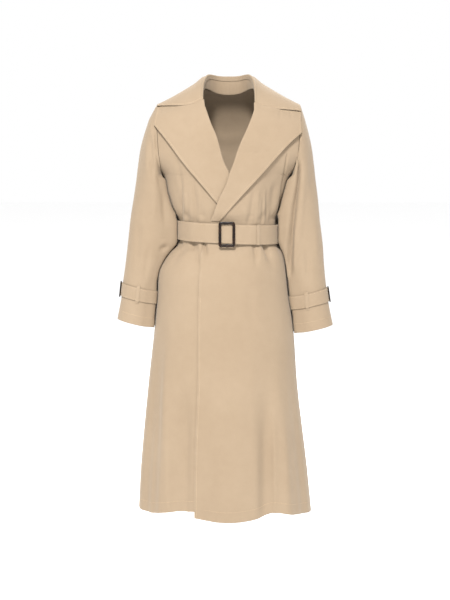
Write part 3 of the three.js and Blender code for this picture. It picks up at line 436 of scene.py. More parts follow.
@dataclass
class Cloth:
    """Grid of points on the outer face of a cut piece, with its wall behind it."""

    points: Array
    wall: float
    outward: Array
    around: bool = False
    rim_turns: tuple[float, ...] = (45.0, 90.0, 135.0)

    def facing(self) -> Array:
        """Outward direction at every point of the grid."""
        down = np.gradient(self.points, axis=0)
        if self.around:
            across = np.roll(self.points, -1, axis=1) - np.roll(self.points, 1, axis=1)
        else:
            across = np.gradient(self.points, axis=1)
        found = unit(np.cross(across, down))
        return found * (1.0 if (found * self.outward).sum() > 0.0 else -1.0)

    def inset(self, edge: Edge, inset: float, lift: float = 0.15) -> Array:
        """Draw a line along one edge, on the outer face.

        Args:
            edge: Which edge to follow.
            inset: How far inside the edge the line runs.
            lift: How far it stands off the cloth.

        Returns:
            Points of the line.
        """
        raised = self.points + self.facing() * lift
        if edge in (Edge.TOP, Edge.BOTTOM):
            raised = np.swapaxes(raised, 0, 1)
        if edge in (Edge.BOTTOM, Edge.END):
            raised = raised[:, ::-1]
        run = run_length(raised, 1)
        line = np.array(
            [[np.interp(inset, run[i], raised[i, :, k]) for k in range(3)] for i in range(len(raised))]
        )
        if self.around and edge in (Edge.TOP, Edge.BOTTOM):
            return np.concatenate([line, line[:1]])
        along = run_length(line[None], 1)[0]
        kept = (along > inset * 0.8) & (along < along[-1] - inset * 0.8)
        return line[kept]

    def _loops(self) -> list[tuple[Array, Array]]:
        """Return the rows and columns of the points along each closed edge."""
        rows, columns = self.points.shape[:2]
        if self.around:
            across = np.arange(columns)
            return [(np.zeros(columns, int), across), (np.full(columns, rows - 1), across)]
        r = np.r_[
            np.zeros(columns - 1, int),
            np.arange(rows - 1),
            np.full(columns - 1, rows - 1),
            np.arange(rows - 1, 0, -1),
        ]
        c = np.r_[
            np.arange(columns - 1),
            np.full(rows - 1, columns - 1),
            np.arange(columns - 1, 0, -1),
            np.zeros(rows - 1, int),
        ]
        return [(r, c)]

    def build(self, name: str, material: bpy.types.Material) -> bpy.types.Object:
        """Make the closed shell with round edges, a metric UV map and an edge attribute.

        Args:
            name: Name of the piece.
            material: Its finish.

        Returns:
            The object.
        """
        rows, columns = self.points.shape[:2]
        facing = self.facing()
        outer = self.points.copy()
        across = run_length(self.points, 1)
        down = run_length(self.points, 0)
        closed = np.linalg.norm(self.points[:, 0] - self.points[:, -1], axis=-1)
        width = across[:, -1:] + (closed[:, None] if self.around else 0.0)
        u = across - width / 2.0
        to_edge = np.minimum(down, down[-1:] - down)
        if not self.around:
            to_edge = np.minimum(to_edge, np.minimum(across, width - across))
        rims, flips = [], []
        for r, c in self._loops():
            near_r = np.clip(r, 1, rows - 2)
            near_c = c if self.around else np.clip(c, 1, columns - 2)
            here, facing_here = self.points[r, c], facing[r, c]
            tangent = np.roll(here, -1, axis=0) - np.roll(here, 1, axis=0)
            out = unit(np.cross(tangent, facing_here))
            inward = self.points[near_r, near_c] - here
            out = out * np.where((out * inward).sum(-1) > 0.0, -1.0, 1.0)[:, None]
            back = np.minimum(self.wall / 2.0, 0.4 * np.linalg.norm(inward, axis=-1))[:, None]
            outer[r, c] = here - out * back
            middle = outer[r, c] - facing_here * self.wall / 2.0
            rings = []
            for turn in np.radians(self.rim_turns):
                bulge = facing_here * self.wall / 2.0 * math.cos(turn)
                rings.append(middle + bulge + out * back * math.sin(turn))
            rims.append((r, c, rings, out))
        inner = outer - facing * self.wall
        vertices = [outer.reshape(-1, 3), inner.reshape(-1, 3)]
        uv = [np.stack([u, -down], -1).reshape(-1, 2)] * 2
        edges = [np.exp(-((to_edge / 5.0) ** 2)).ravel()] * 2
        index = np.arange(rows * columns).reshape(rows, columns)
        if self.around:
            index = np.concatenate([index, index[:, :1]], axis=1)
        quads = np.stack([index[:-1, :-1], index[:-1, 1:], index[1:, 1:], index[1:, :-1]], -1)
        quads = quads.reshape(-1, 4)
        face = np.cross(
            self.points[0, 1] - self.points[0, 0], self.points[1, 1] - self.points[0, 1]
        ) @ facing[0, 0]
        if face < 0.0:
            quads = quads[:, ::-1]
        faces = [quads, quads[:, ::-1] + rows * columns]
        count = 2 * rows * columns
        for r, c, rings, out in rims:
            size = len(r)
            ids = [r * columns + c]
            for ring in rings:
                vertices.append(ring)
                uv.append(uv[0][ids[0]] + 0.3 * (len(ids)))
                edges.append(np.ones(size))
                ids.append(count + np.arange(size))
                count += size
            ids.append(r * columns + c + rows * columns)
            every = np.concatenate(vertices)
            for a, b in zip(ids[:-1], ids[1:]):
                strip = np.stack([a, np.roll(a, -1), np.roll(b, -1), b], -1)
                spans = every[strip]
                normal = np.cross(spans[:, 1] - spans[:, 0], spans[:, 3] - spans[:, 0])
                flips.append((strip, normal, out))
            facing_sign = sum((normal * out).sum() for _, normal, out in flips[-len(ids) + 1 :])
            for strip, _, _ in flips[-len(ids) + 1 :]:
                faces.append(strip if facing_sign > 0.0 else strip[:, ::-1])
        vertices, uv = np.concatenate(vertices), np.concatenate(uv)
        faces = np.concatenate(faces)
        corners = uv[faces]
        if self.around:
            corners = self._unwrap(corners, float(np.median(width)))
        piece = new_piece(name, vertices, faces, material)
        layer = piece.data.uv_layers.new(name="cut")
        layer.data.foreach_set("uv", (corners * MM).ravel())
        attribute = piece.data.attributes.new("edge", "FLOAT", "POINT")
        attribute.data.foreach_set("value", np.concatenate(edges).astype(np.float32))
        return piece

    @staticmethod
    def _unwrap(corners: Array, width: float) -> Array:
        """Carry the map over the join of a closed piece, so that no face spans it."""
        spread = corners[:, :, 0].max(1) - corners[:, :, 0].min(1)
        split = (spread > width / 2.0)[:, None] & (corners[:, :, 0] < 0.0)
        corners[:, :, 0] += np.where(split, width, 0.0)
        return corners


def new_piece(
    name: str, vertices: Array, faces: Array, material: bpy.types.Material
) -> bpy.types.Object:
    """Make a smooth mesh object from points in millimetres.

    Args:
        name: Name of the piece.
        vertices: Points.
        faces: Quads, as indices of the points.
        material: Its finish.

    Returns:
        The object, linked to the scene.
    """
    mesh = bpy.data.meshes.new(name)
    mesh.from_pydata((vertices * MM).tolist(), [], faces.tolist())
    mesh.polygons.foreach_set("use_smooth", np.ones(len(mesh.polygons), bool))
    mesh.materials.append(material)
    mesh.update()
    piece = bpy.data.objects.new(name, mesh)
    bpy.context.scene.collection.objects.link(piece)
    return piece


class Held(Enum):
    """How a cloth piece is held."""

    HUNG = "hung"
    FOLDED = "folded"
    LAID = "laid"
    STRETCHED = "stretched"


@dataclass
class Sheet:
    """What one cloth piece stands for, and how it was cut and is held."""

    nodes: tuple[str, ...]
    flat: tuple[float, float]
    held: Held
    rests_on: tuple[str, ...]
    area: float | None = None

    def declare(self, piece: bpy.types.Object) -> None:
        """Tie the piece to the frame and hide the solids it stands for.

        Args:
            piece: The cloth piece.
        """
        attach(piece, "root")
        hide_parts(*self.nodes)
        log.info("%s: cloth, %d faces", piece.name, len(piece.data.polygons))


class Socket:
    """A node's output that can be used in Python sums."""

    def __init__(self, tree: "NodeTree", output: bpy.types.NodeSocket) -> None:
        """Keep the tree and the output."""
        self.tree, self.output = tree, output

    def _math(self, operation: str, *values: object) -> "Socket":
        """Add a Math node on the given values."""
        return self.tree.node("ShaderNodeMath", {"operation": operation}, *values)

    def __add__(self, other: object) -> "Socket":
        """Sum."""
        return self._math("ADD", self, other)

    def __radd__(self, other: object) -> "Socket":
        """Sum with a number first."""
        return self._math("ADD", other, self)

    def __sub__(self, other: object) -> "Socket":
        """Difference."""
        return self._math("SUBTRACT", self, other)

    def __rsub__(self, other: object) -> "Socket":
        """Difference with a number first."""
        return self._math("SUBTRACT", other, self)

    def __mul__(self, other: object) -> "Socket":
        """Product."""
        return self._math("MULTIPLY", self, other)

    def __rmul__(self, other: object) -> "Socket":
        """Product with a number first."""
        return self._math("MULTIPLY", other, self)

    def sine(self) -> "Socket":
        """Sine."""
        return self._math("SINE", self)

    def ranged(self, low: float, high: float) -> "Socket":
        """Return 0 below low, 1 above high, and a straight ramp between."""
        return self.tree.node(
            "ShaderNodeMapRange", {}, self, **{"From Min": low, "From Max": high}
        )


class NodeTree:
    """Builds the nodes of one material."""

    def __init__(self, name: str) -> None:
        """Start an empty material."""
        self.material = bpy.data.materials.new(name)
        self.material.use_nodes = True
        self.tree = self.material.node_tree
        self.tree.nodes.clear()

    def node(
        self, kind: str, settings: dict, *values: object, output: int | str = 0, **named: object
    ) -> Socket:
        """Add one node.

        Args:
            kind: Type of the node.
            settings: Its own settings, set first.
            values: Values or links of its sockets, in order.
            output: The output that is wanted.
            named: Values or links by socket name.

        Returns:
            The wanted output.
        """
        made = self.tree.nodes.new(kind)
        for key, value in settings.items():
            setattr(made, key, value)
        for target, value in [*zip(made.inputs, values), *((made.inputs[k], v) for k, v in named.items())]:
            if isinstance(value, Socket):
                self.tree.links.new(value.output, target)
            elif value is not None:
                target.default_value = value
        return Socket(self, made.outputs[output])

    def noise(self, where: Socket, scale: float, detail: float = 2.0, roughness: float = 0.5) -> Socket:
        """Add a noise of a scale per metre."""
        return self.node(
            "ShaderNodeTexNoise", {}, Vector=where, Scale=scale, Detail=detail, Roughness=roughness
        )

    def blend(self, share: Socket | float, first: object, second: object) -> Socket:
        """Mix two colours."""
        made = self.node("ShaderNodeMix", {"data_type": "RGBA"}, share, output=2)
        node = made.output.node
        for target, value in ((node.inputs[6], first), (node.inputs[7], second)):
            if isinstance(value, Socket):
                self.tree.links.new(value.output, target)
            else:
                target.default_value = (*value, 1.0)
        return made

    def finish(self, constants: dict, **linked: object) -> bpy.types.Material:
        """Close the tree with its shader.

        Args:
            constants: Numbers set on the shader's own sockets.
            linked: What changes over the surface, by socket name with _ for a space.

        Returns:
            The material.
        """
        inputs = {key.replace("_", " "): value for key, value in linked.items()}
        shader = self.node("ShaderNodeBsdfPrincipled", {}, **inputs)
        for name, value in constants.items():
            shader.output.node.inputs[name].default_value = value
        surface = self.tree.nodes.new("ShaderNodeOutputMaterial").inputs["Surface"]
        self.tree.links.new(shader.output, surface)
        return self.material


@dataclass(frozen=True)
class GabardineFinish:
    """Smooth matt cotton twill, read from each piece's own metric map."""

    name: str = "beige_gabardine"
    light: tuple[float, float, float] = (0.228, 0.170, 0.1125)
    dark: tuple[float, float, float] = (0.207, 0.152, 0.099)
    worn: tuple[float, float, float] = (0.25, 0.19, 0.13)
    twill_pitch: float = 0.0007
    twill_slant: float = 1.1
    twill_height: float = 0.00004
    roughness: tuple[float, float] = (0.78, 0.9)

    def build(self) -> bpy.types.Material:
        """Build the material."""
        tree = NodeTree(self.name)
        cut = tree.node("ShaderNodeUVMap", {"uv_map": "cut"})
        place = tree.node("ShaderNodeTexCoord", {}, output="Object")
        u = tree.node("ShaderNodeSeparateXYZ", {}, cut, output=0)
        v = tree.node("ShaderNodeSeparateXYZ", {}, cut, output=1)
        slub = tree.noise(cut, 260.0, 3.0, 0.6)
        diagonal = (u + v * self.twill_slant) * (2.0 * math.pi / self.twill_pitch)
        twill = (diagonal + slub * 3.0).sine() * 0.5 + 0.5
        cloud = tree.noise(place, 5.5, 2.0, 0.45)
        mottle = tree.noise(place, 42.0, 3.0, 0.55)
        tone = (cloud * 0.55 + mottle * 0.3 + slub * 0.15).ranged(0.36, 0.64)
        base = tree.blend(tone * 0.75 + twill * 0.25, self.dark, self.light)
        edge = tree.node("ShaderNodeAttribute", {"attribute_name": "edge"}, output="Fac")
        wear = (edge * mottle.ranged(0.35, 0.7)) * 0.35
        colour = tree.blend(wear, base, self.worn)
        rough = tone.ranged(0.0, 1.0) * (self.roughness[0] - self.roughness[1]) + self.roughness[1]
        height = twill * self.twill_height + slub * 0.00006 + mottle * 0.0009
        bump = tree.node("ShaderNodeBump", {}, Strength=0.5, Distance=1.0, Height=height)
        return tree.finish(
            {
                "Sheen Weight": 0.12,
                "Sheen Roughness": 0.5,
                "Sheen Tint": (1.0, 0.93, 0.82, 1.0),
                "Specular IOR Level": 0.25,
            },
            Base_Color=colour,
            Roughness=rough - wear * 0.2,
            Normal=bump,
        )


@dataclass(frozen=True)
class ThreadFinish:
    """Tone-on-tone sewing thread."""

    name: str = "sewing_thread"
    light: tuple[float, float, float] = (0.53, 0.385, 0.24)
    dark: tuple[float, float, float] = (0.40, 0.28, 0.165)

    def build(self) -> bpy.types.Material:
        """Build the material."""
        tree = NodeTree(self.name)
        place = tree.node("ShaderNodeTexCoord", {}, output="Object")
        twist = tree.noise(place, 2600.0, 1.0)
        cloud = tree.noise(place, 30.0, 1.0)
        colour = tree.blend((twist * 0.6 + cloud * 0.4).ranged(0.3, 0.7), self.dark, self.light)
        bump = tree.node("ShaderNodeBump", {}, Strength=0.4, Distance=1.0, Height=twist * 0.0001)
        return tree.finish(
            {"Sheen Weight": 0.15, "Specular IOR Level": 0.35},
            Base_Color=colour,
            Roughness=twist * 0.2 + 0.55,
            Normal=bump,
        )


@dataclass(frozen=True)
class ResinFinish:
    """Polished dark brown buckle resin with faint clouding and handling marks."""

    name: str = "dark_buckle_resin"
    deep: tuple[float, float, float] = (0.005, 0.0022, 0.0012)
    warm: tuple[float, float, float] = (0.017, 0.007, 0.003)
    rubbed: tuple[float, float, float] = (0.045, 0.024, 0.013)

    def build(self) -> bpy.types.Material:
        """Build the material."""
        tree = NodeTree(self.name)
        place = tree.node("ShaderNodeTexCoord", {}, output="Object")
        cloud = tree.noise(place, 70.0, 3.0, 0.55)
        fine = tree.noise(place, 900.0, 2.0)
        stretched = tree.node("ShaderNodeMapping", {}, place, Scale=(1.0, 1.0, 0.15))
        scratches = tree.noise(stretched, 1500.0, 1.0).ranged(0.62, 0.72)
        colour = tree.blend(cloud.ranged(0.38, 0.66), self.deep, self.warm)
        marks = scratches * cloud.ranged(0.45, 0.6) * 0.25
        bump = tree.node(
            "ShaderNodeBump", {}, Strength=0.3, Distance=1.0, Height=cloud * 0.0004 - scratches * 0.00003
        )
        return tree.finish(
            {"Specular IOR Level": 0.17, "IOR": 1.5, "Coat Roughness": 0.2},
            Base_Color=tree.blend(marks, colour, self.rubbed),
            Roughness=fine * 0.1 + marks * 0.4 + 0.2,
            Coat_Weight=0.05 - marks * 0.2,
            Normal=bump,
        )


@dataclass(frozen=True)
class PlainFinish:
    """Plain pale studio paper."""

    name: str = "studio_paper"
    colour: tuple[float, float, float] = (0.97, 0.97, 0.97)

    def build(self) -> bpy.types.Material:
        """Build the material."""
        tree = NodeTree(self.name)
        place = tree.node("ShaderNodeTexCoord", {}, output="Object")
        grain = tree.noise(place, 300.0)
        return tree.finish(
            {"Specular IOR Level": 0.1, "Base Color": (*self.colour, 1.0)}, Roughness=grain * 0.1 + 0.85
        )


@dataclass
class Stitcher:
    """Sews rows of stitches along lines on the cloth."""

    material: bpy.types.Material
    pitch: float = 3.6
    stitch: float = 2.7
    thread: float = 0.34

    def _tree(self) -> bpy.types.NodeTree:
        """Build the node tree that turns lines into stitches."""
        tree = bpy.data.node_groups.new("stitch_row", "GeometryNodeTree")
        face = tree.interface
        face.new_socket("Lines", in_out="INPUT", socket_type="NodeSocketGeometry")
        for name in ("Pitch", "Stitch length", "Thread thickness"):
            face.new_socket(name, in_out="INPUT", socket_type="NodeSocketFloat")
        face.new_socket("Thread", in_out="INPUT", socket_type="NodeSocketMaterial")
        face.new_socket("Stitches", in_out="OUTPUT", socket_type="NodeSocketGeometry")
        made = {
            key: tree.nodes.new(kind)
            for key, kind in {
                "in": "NodeGroupInput",
                "out": "NodeGroupOutput",
                "curve": "GeometryNodeMeshToCurve",
                "points": "GeometryNodeCurveToPoints",
                "align": "FunctionNodeAlignRotationToVector",
                "bead": "GeometryNodeMeshUVSphere",
                "size": "ShaderNodeCombineXYZ",
                "place": "GeometryNodeInstanceOnPoints",
                "real": "GeometryNodeRealizeInstances",
                "soft": "GeometryNodeSetShadeSmooth",
                "paint": "GeometryNodeSetMaterial",
            }.items()
        }
        made["points"].mode = "LENGTH"
        made["align"].axis = "X"
        made["bead"].inputs["Segments"].default_value = 6
        made["bead"].inputs["Rings"].default_value = 4
        made["bead"].inputs["Radius"].default_value = 0.5
        wires = (
            ("in", "Lines", "curve", "Mesh"),
            ("curve", "Curve", "points", "Curve"),
            ("in", "Pitch", "points", "Length"),
            ("points", "Tangent", "align", "Vector"),
            ("points", "Points", "place", "Points"),
            ("align", "Rotation", "place", "Rotation"),
            ("bead", "Mesh", "place", "Instance"),
            ("in", "Stitch length", "size", "X"),
            ("in", "Thread thickness", "size", "Y"),
            ("in", "Thread thickness", "size", "Z"),
            ("size", "Vector", "place", "Scale"),
            ("place", "Instances", "real", "Geometry"),
            ("real", "Geometry", "soft", "Geometry"),
            ("soft", "Geometry", "paint", "Geometry"),
            ("in", "Thread", "paint", "Material"),
            ("paint", "Geometry", "out", "Stitches"),
        )
        for source, output, target, socket in wires:
            tree.links.new(made[source].outputs[output], made[target].inputs[socket])
        return tree

    def sew(self, name: str, lines: list[Array]) -> bpy.types.Object:
        """Sew all the lines as one piece.

        Args:
            name: Name of the piece.
            lines: Points of each line in millimetres.

        Returns:
            The stitches as a plain mesh.
        """
        tree = bpy.data.node_groups.get("stitch_row") or self._tree()
        starts = np.cumsum([0, *(len(line) for line in lines)])
        ties = [(i, i + 1) for a, b in zip(starts[:-1], starts[1:]) for i in range(a, b - 1)]
        mesh = bpy.data.meshes.new(name + "_lines")
        mesh.from_pydata((np.concatenate(lines) * MM).tolist(), ties, [])
        carrier = bpy.data.objects.new(name + "_lines", mesh)
        bpy.context.scene.collection.objects.link(carrier)
        modifier = carrier.modifiers.new("stitches", "NODES")
        modifier.node_group = tree
        values = {
            "Pitch": self.pitch * MM,
            "Stitch length": self.stitch * MM,
            "Thread thickness": self.thread * MM,
            "Thread": self.material,
        }
        for item in tree.interface.items_tree:
            if item.name in values:
                modifier[item.identifier] = values[item.name]
        evaluated = carrier.evaluated_get(bpy.context.evaluated_depsgraph_get())
        sewn = bpy.data.meshes.new_from_object(evaluated)
        sewn.name = name
        carrier.modifiers.remove(modifier)
        bpy.data.objects.remove(carrier)
        bpy.data.meshes.remove(mesh)
        piece = bpy.data.objects.new(name, sewn)
        bpy.context.scene.collection.objects.link(piece)
        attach(piece, "root")
        log.info("%s: %d stitch faces", name, len(sewn.polygons))
        return piece


@dataclass
class Workroom:
    """What every sub-assembly needs: the body form, the finishes and the needle."""

    trunk: Trunk
    cloth: bpy.types.Material
    resin: bpy.types.Material
    needle: Stitcher


@dataclass
class Panels:
    """Two overlapping fronts and the back, down to the hem."""

    room: Workroom
    wall: float = 1.3
    seam: float = 0.3
    front_columns: int = 84
    back_columns: int = 132
    overlap_full: float = 23.0
    overlap_end: float = 42.0
    # Rows between these stations, with the number of steps to each
    stations: tuple[tuple[float, int], ...] = (
        (90, 0), (0, 22), (-60, 22), (-175, 42), (-180, 2), (-244, 16), (-330, 34), (-430, 26),
        (-970, 84),
    )
    overlap: Course = Course(
        "z lift", ((-150, 0), (-205, 6.2), (-330, 6.4), (-350, 3.1), (-1140, 3.1))
    )
    right_edge: Course = Course(
        "z x",
        (
            (0, -65.5), (-38, -62.5), (-57, -55.5), (-95, -42), (-130, -27), (-192, -9.4),
            (-224, 5.4), (-288, 24), (-350, 36), (-408, 46), (-500, 56), (-1140, 70),
        ),
    )
    left_edge: Course = Course(
        "z x",
        (
            (0, 71.5), (-22, 74), (-55, 71), (-100, 55), (-155, 30), (-199, 15.3), (-224, 5.4),
            (-254, -4.2), (-283, -19), (-303, -27), (-335, -37), (-350, -40), (-408, -62),
            (-501, -73), (-605, -76.6), (-781, -78), (-947, -84.7), (-1140, -87),
        ),
    )
    # How far each front's hem is moved up near the overlap
    hem_step: Course = Course(
        "turn right left",
        (
            (-40, 0, -14), (-22, 0, -14), (-8, 18, -4), (6, 20, 0), (90, 0, 0),
        ),
    )
    roll_set: float = 2.4
    roll_end_z: float = -340.0
    roll_blend: float = 12.0
    tuck_from: float = 8.0
    tuck_blend: float = 6.0
    tuck_turn: float = 0.9
    tuck_depth: float = 1.8
    edge_stitch: float = 6.0
    edge_stitch_row: int = 150
    hem_stitch: float = 28.0
    front_creases: tuple[Crease, ...] = (
        # Wearer's right, above the belt
        Crease(((-135, -165), (-126, -223), (-120, -260), (-122, -352)), 6, -2.6, 0.25, 0),
        Crease(((-120, -262), (-121, -352)), 2.2, -1.6, 0.3, 0),
        Crease(((-113, -225), (-112, -352)), 5, 1.8, 0.3, 0),
        Crease(((-90, -231), (-84, -301), (-82, -352)), 4.5, -2.6, 0.3, 0),
        Crease(((-104, -262), (-103, -352)), 3, -1.5, 0.3, 0),
        Crease(((-74, -250), (-70, -352)), 5, 1.6, 0.3, 0),
        # Wearer's left, above the belt
        Crease(((126, -240), (120, -300), (114, -352)), 8, -3.6, 0.3, 0),
        Crease(((93, -285), (91, -352)), 3, -2.4, 0.3, 0),
        Crease(((104, -257), (104, -352)), 4, -2.2, 0.3, 0),
        Crease(((99, -262), (97, -352)), 3, 1.6, 0.3, 0),
        Crease(((70, -255), (63, -300), (54, -352)), 6, -2.8, 0.3, 0),
        Crease(((80, -262), (76, -352)), 5, 1.8, 0.3, 0),
        Crease(((159, -165), (146, -249), (136, -344)), 2.3, -3.4, 0.1, 0.1),
        Crease(((152, -180), (139, -260), (128, -344)), 5, 0.8, 0.2, 0.1),
        Crease(((125, -184), (137, -200)), 2.2, -1.2, 0.3, 0.3),
        # Puckers under the belt
        Crease(((-92, -398), (-90, -416), (-86, -440)), 6, -6.5, 0, 0.6),
        Crease(((-84, -398), (-77, -445), (-74, -492)), 3.5, -2.6, 0, 0.5),
        Crease(((-61, -398), (-57, -425), (-54, -460)), 5, -8, 0, 0.7),
        Crease(((-72, -400), (-68, -470)), 5, 2.4, 0.1, 0.6),
        Crease(((68, -402), (73, -430), (76, -480)), 5, -4.5, 0, 0.7),
        Crease(((92, -404), (98, -412), (107, -432), (110, -462)), 5.5, -9.5, 0, 0.6),
        Crease(((84, -404), (88, -470)), 5, 2.4, 0.1, 0.6),
        Crease(((128, -404), (136, -414), (146, -436)), 4, -5, 0, 0.6),
        Crease(((-122, -398), (-126, -430)), 4, -3, 0, 0.7),
        Crease(((24, -404), (26, -440)), 4.5, -2.2, 0, 0.8),
        # Long soft folds of the skirt
        Crease(((118, -700), (104, -896), (94, -1150)), 17, -7, 0.5, 0),
        Crease(((123, -820), (126, -1150)), 5, 3.4, 0.5, 0),
        Crease(((152, -760), (160, -1150)), 12, 3, 0.5, 0),
        Crease(((-168, -560), (-188, -816), (-201, -1150)), 15, -8, 0.4, 0),
        Crease(((-176, -620), (-152, -1150)), 13, 3.6, 0.5, 0),
        Crease(((-106, -760), (-110, -1003), (-107, -1150)), 15, -8, 0.4, 0),
        Crease(((-60, -560), (-56, -700)), 12, 1.8, 0.4, 0.4),
        Crease(((30, -640), (28, -1150)), 22, 2.2, 0.5, 0),
        Crease(((60, -500), (66, -660)), 12, -1.8, 0.4, 0.4),
        Crease(((-20, -900), (-24, -1150)), 12, -2, 0.5, 0),
    )
    back_creases: tuple[Crease, ...] = (
        # Above the belt
        Crease(((-118, -215), (-110, -290), (-108, -352)), 6.5, -3.4, 0.3, 0),
        Crease(((-98, -240), (-93, -352)), 4.5, 2.2, 0.3, 0),
        Crease(((-78, -225), (-72, -300), (-71, -352)), 5.5, -3.2, 0.3, 0),
        Crease(((-48, -250), (-45, -352)), 4, -2.4, 0.3, 0),
        Crease(((-30, -240), (-29, -352)), 5, 2.2, 0.3, 0),
        Crease(((-8, -215), (-6, -290), (-7, -352)), 6, -3.4, 0.3, 0),
        Crease(((20, -250), (18, -352)), 4, -2, 0.3, 0),
        Crease(((46, -232), (42, -352)), 6, -3, 0.3, 0),
        Crease(((62, -240), (57, -352)), 4.5, 2.2, 0.3, 0),
        Crease(((88, -222), (80, -300), (77, -352)), 5.5, -3.4, 0.3, 0),
        Crease(((121, -230), (112, -352)), 6, -2.8, 0.3, 0),
        Crease(((-60, -120), (0, -138), (60, -121)), 15, -2.2, 0.3, 0.3),
        # Puckers under the belt
        Crease(((-108, -400), (-112, -440), (-114, -480)), 5, -5.5, 0, 0.6),
        Crease(((-72, -400), (-75, -450), (-76, -510)), 5, -5, 0, 0.6),
        Crease(((-40, -400), (-41, -450)), 4.5, -4, 0, 0.7),
        Crease(((-8, -400), (-8, -455), (-7, -530)), 5.5, -5.5, 0, 0.6),
        Crease(((28, -400), (30, -440)), 4.5, -4, 0, 0.7),
        Crease(((58, -400), (62, -450), (64, -515)), 5, -5, 0, 0.6),
        Crease(((96, -400), (102, -450), (105, -490)), 5, -5.5, 0, 0.6),
        # Long soft folds of the skirt
        Crease(((-120, -640), (-132, -880), (-140, -1150)), 16, -6, 0.5, 0),
        Crease(((-76, -700), (-80, -1150)), 14, 3.6, 0.5, 0),
        Crease(((-36, -620), (-34, -1150)), 16, -5.5, 0.5, 0),
        Crease(((12, -720), (14, -1150)), 15, 3, 0.5, 0),
        Crease(((58, -660), (64, -1150)), 16, -5.5, 0.5, 0),
        Crease(((112, -640), (124, -1150)), 15, -5, 0.5, 0),
        Crease(((150, -700), (166, -1150)), 13, 3.2, 0.5, 0),
    )

    def edge_x(self, edge: Course, side: int, height: Array) -> Array:
        """Read a front's inner edge, set back where the rolled lapel bulges past it."""
        bulge = self.roll_set * smooth((height - self.roll_end_z) / self.roll_blend)
        return edge.curve("x", height) + side * bulge

    def rows(self) -> Array:
        """Stations of the rows, from the shoulder seam to the hem."""
        found = [np.array([self.stations[0][0]], float)]
        for (start, _), (end, steps) in zip(self.stations[:-1], self.stations[1:]):
            found.append(np.linspace(start, end, steps + 1)[1:])
        return np.concatenate(found)

    def shoulder_seam(self) -> float:
        """Station just before the shoulder seam."""
        return 90.0 - math.degrees(self.seam / 2.0 / self.room.trunk.sections.rows[0][2])

    def seam_turn(self, station: Array) -> Array:
        """Half the gap at a side seam, as a turn."""
        front = self.room.trunk.outline(self.room.trunk.chest_z + np.minimum(station, 0.0))[1]
        return np.degrees(self.seam / 2.0 / front)

    def overlap_lift(self, turn: Array, station: Array) -> Array:
        """Work out how far the left front stands out over the right one.

        Args:
            turn: Turns round the body.
            station: Stations down it.

        Returns:
            The lift of the left front's outer face.
        """
        height = self.overlap.line("lift", self.room.trunk.chest_z + station)
        share = smooth((self.overlap_end - turn) / (self.overlap_end - self.overlap_full))
        return np.where(station > 0.0, 0.0, height * share)

    def front_grid(self, edge: Course, side: int) -> Cloth:
        """Lay out one front.

        Args:
            edge: Its inner edge, x by height.
            side: -1 on the wearer's right, 1 on the left.

        Returns:
            The grid, with its wall.
        """
        trunk = self.room.trunk
        station = self.rows()
        height = np.where(
            station > 0.0, trunk.chest_z * (1.0 - np.sin(np.radians(station))), trunk.chest_z + station
        )
        start = trunk.turn_at(self.edge_x(edge, side, height), station)
        end = side * (trunk.side_turn(station) - self.seam_turn(station))
        share = np.linspace(0.0, 1.0, self.front_columns + 1)
        turn = mix(start[:, None], end[:, None], share[None])
        station = np.where(np.arange(len(station)) == 0, self.shoulder_seam(), station)[:, None]
        station = np.broadcast_to(station, turn.shape)
        lift = self.overlap_lift(turn, station) if side > 0 else np.zeros(turn.shape)
        base = trunk.point(turn, station)
        step = self.hem_step.line("left" if side > 0 else "right", turn)
        base[..., 2] += step * smooth(1.0 - (base[..., 2] - trunk.hem_z) / trunk.hem_blend)
        lift = lift + creased(self.front_creases, base[..., 0], base[..., 2])
        facing = trunk.facing(turn, station)
        return Cloth(base + facing * lift[..., None], self.wall, facing)

    def back_grid(self) -> Cloth:
        """Lay out the back."""
        trunk = self.room.trunk
        station = self.rows()
        step = np.r_[-1.0, -0.998, np.linspace(-0.996, 0.996, self.back_columns + 1), 0.998, 1.0]
        # The back runs on behind the fronts below the armholes, so that no seam shows light
        under = np.r_[2.0, 1.0, np.zeros(self.back_columns + 1), 1.0, 2.0]
        reach = trunk.side_turn(station) - self.seam_turn(station)
        low = smooth((-trunk.underarm - self.tuck_from - station) / self.tuck_blend)[:, None]
        tuck = under[None] * low
        turn = 180.0 - step[None] * (reach[:, None] + self.tuck_turn * tuck)
        chest = trunk.point(turn, 0.0)
        off = np.abs(chest[..., 0] - trunk.sections.rows[0][4]) / trunk.neck_half
        neck_y = trunk.neck_back * np.sqrt(np.clip(1.0 - off * off, 0.0, 1.0))
        top = np.degrees(np.arccos(np.clip(neck_y / np.maximum(chest[..., 1], 1.0), -1.0, 1.0)))
        top = np.where(off >= 1.0, self.shoulder_seam(), np.minimum(self.shoulder_seam(), top))
        down = np.where(station[:, None] > 0.0, station[:, None] / 90.0 * top, station[:, None])
        base = trunk.point(turn, down)
        facing = trunk.facing(turn, down)
        lift = creased(self.back_creases, base[..., 0], base[..., 2]) - self.tuck_depth * smooth(tuck)
        return Cloth(base + facing * lift[..., None], self.wall, facing)

    def build(self) -> None:
        """Build, sew and dress the three panels."""
        room = self.room
        right, left = self.front_grid(self.right_edge, -1), self.front_grid(self.left_edge, 1)
        back = self.back_grid()
        hems = [cloth.inset(Edge.BOTTOM, self.hem_stitch) for cloth in (left, right, back)]
        edge = left.inset(Edge.START, self.edge_stitch)[self.edge_stitch_row :]
        sewn = room.needle.sew("stitching_panels", [edge, *hems])
        for name, cloth, nodes, flat, area, notions in (
            ("coat_back", back, ("back",), (0.72, 1.17), 0.58, ()),
            ("coat_front_right", right, ("front_right",), (0.46, 1.17), 0.334, ()),
            ("coat_front_left", left, ("front_left",), (0.46, 1.17), 0.336, (sewn,)),
        ):
            piece = cloth.build(name, room.cloth)
            Sheet(nodes, flat, Held.HUNG, ("coat_back",), area).declare(piece)


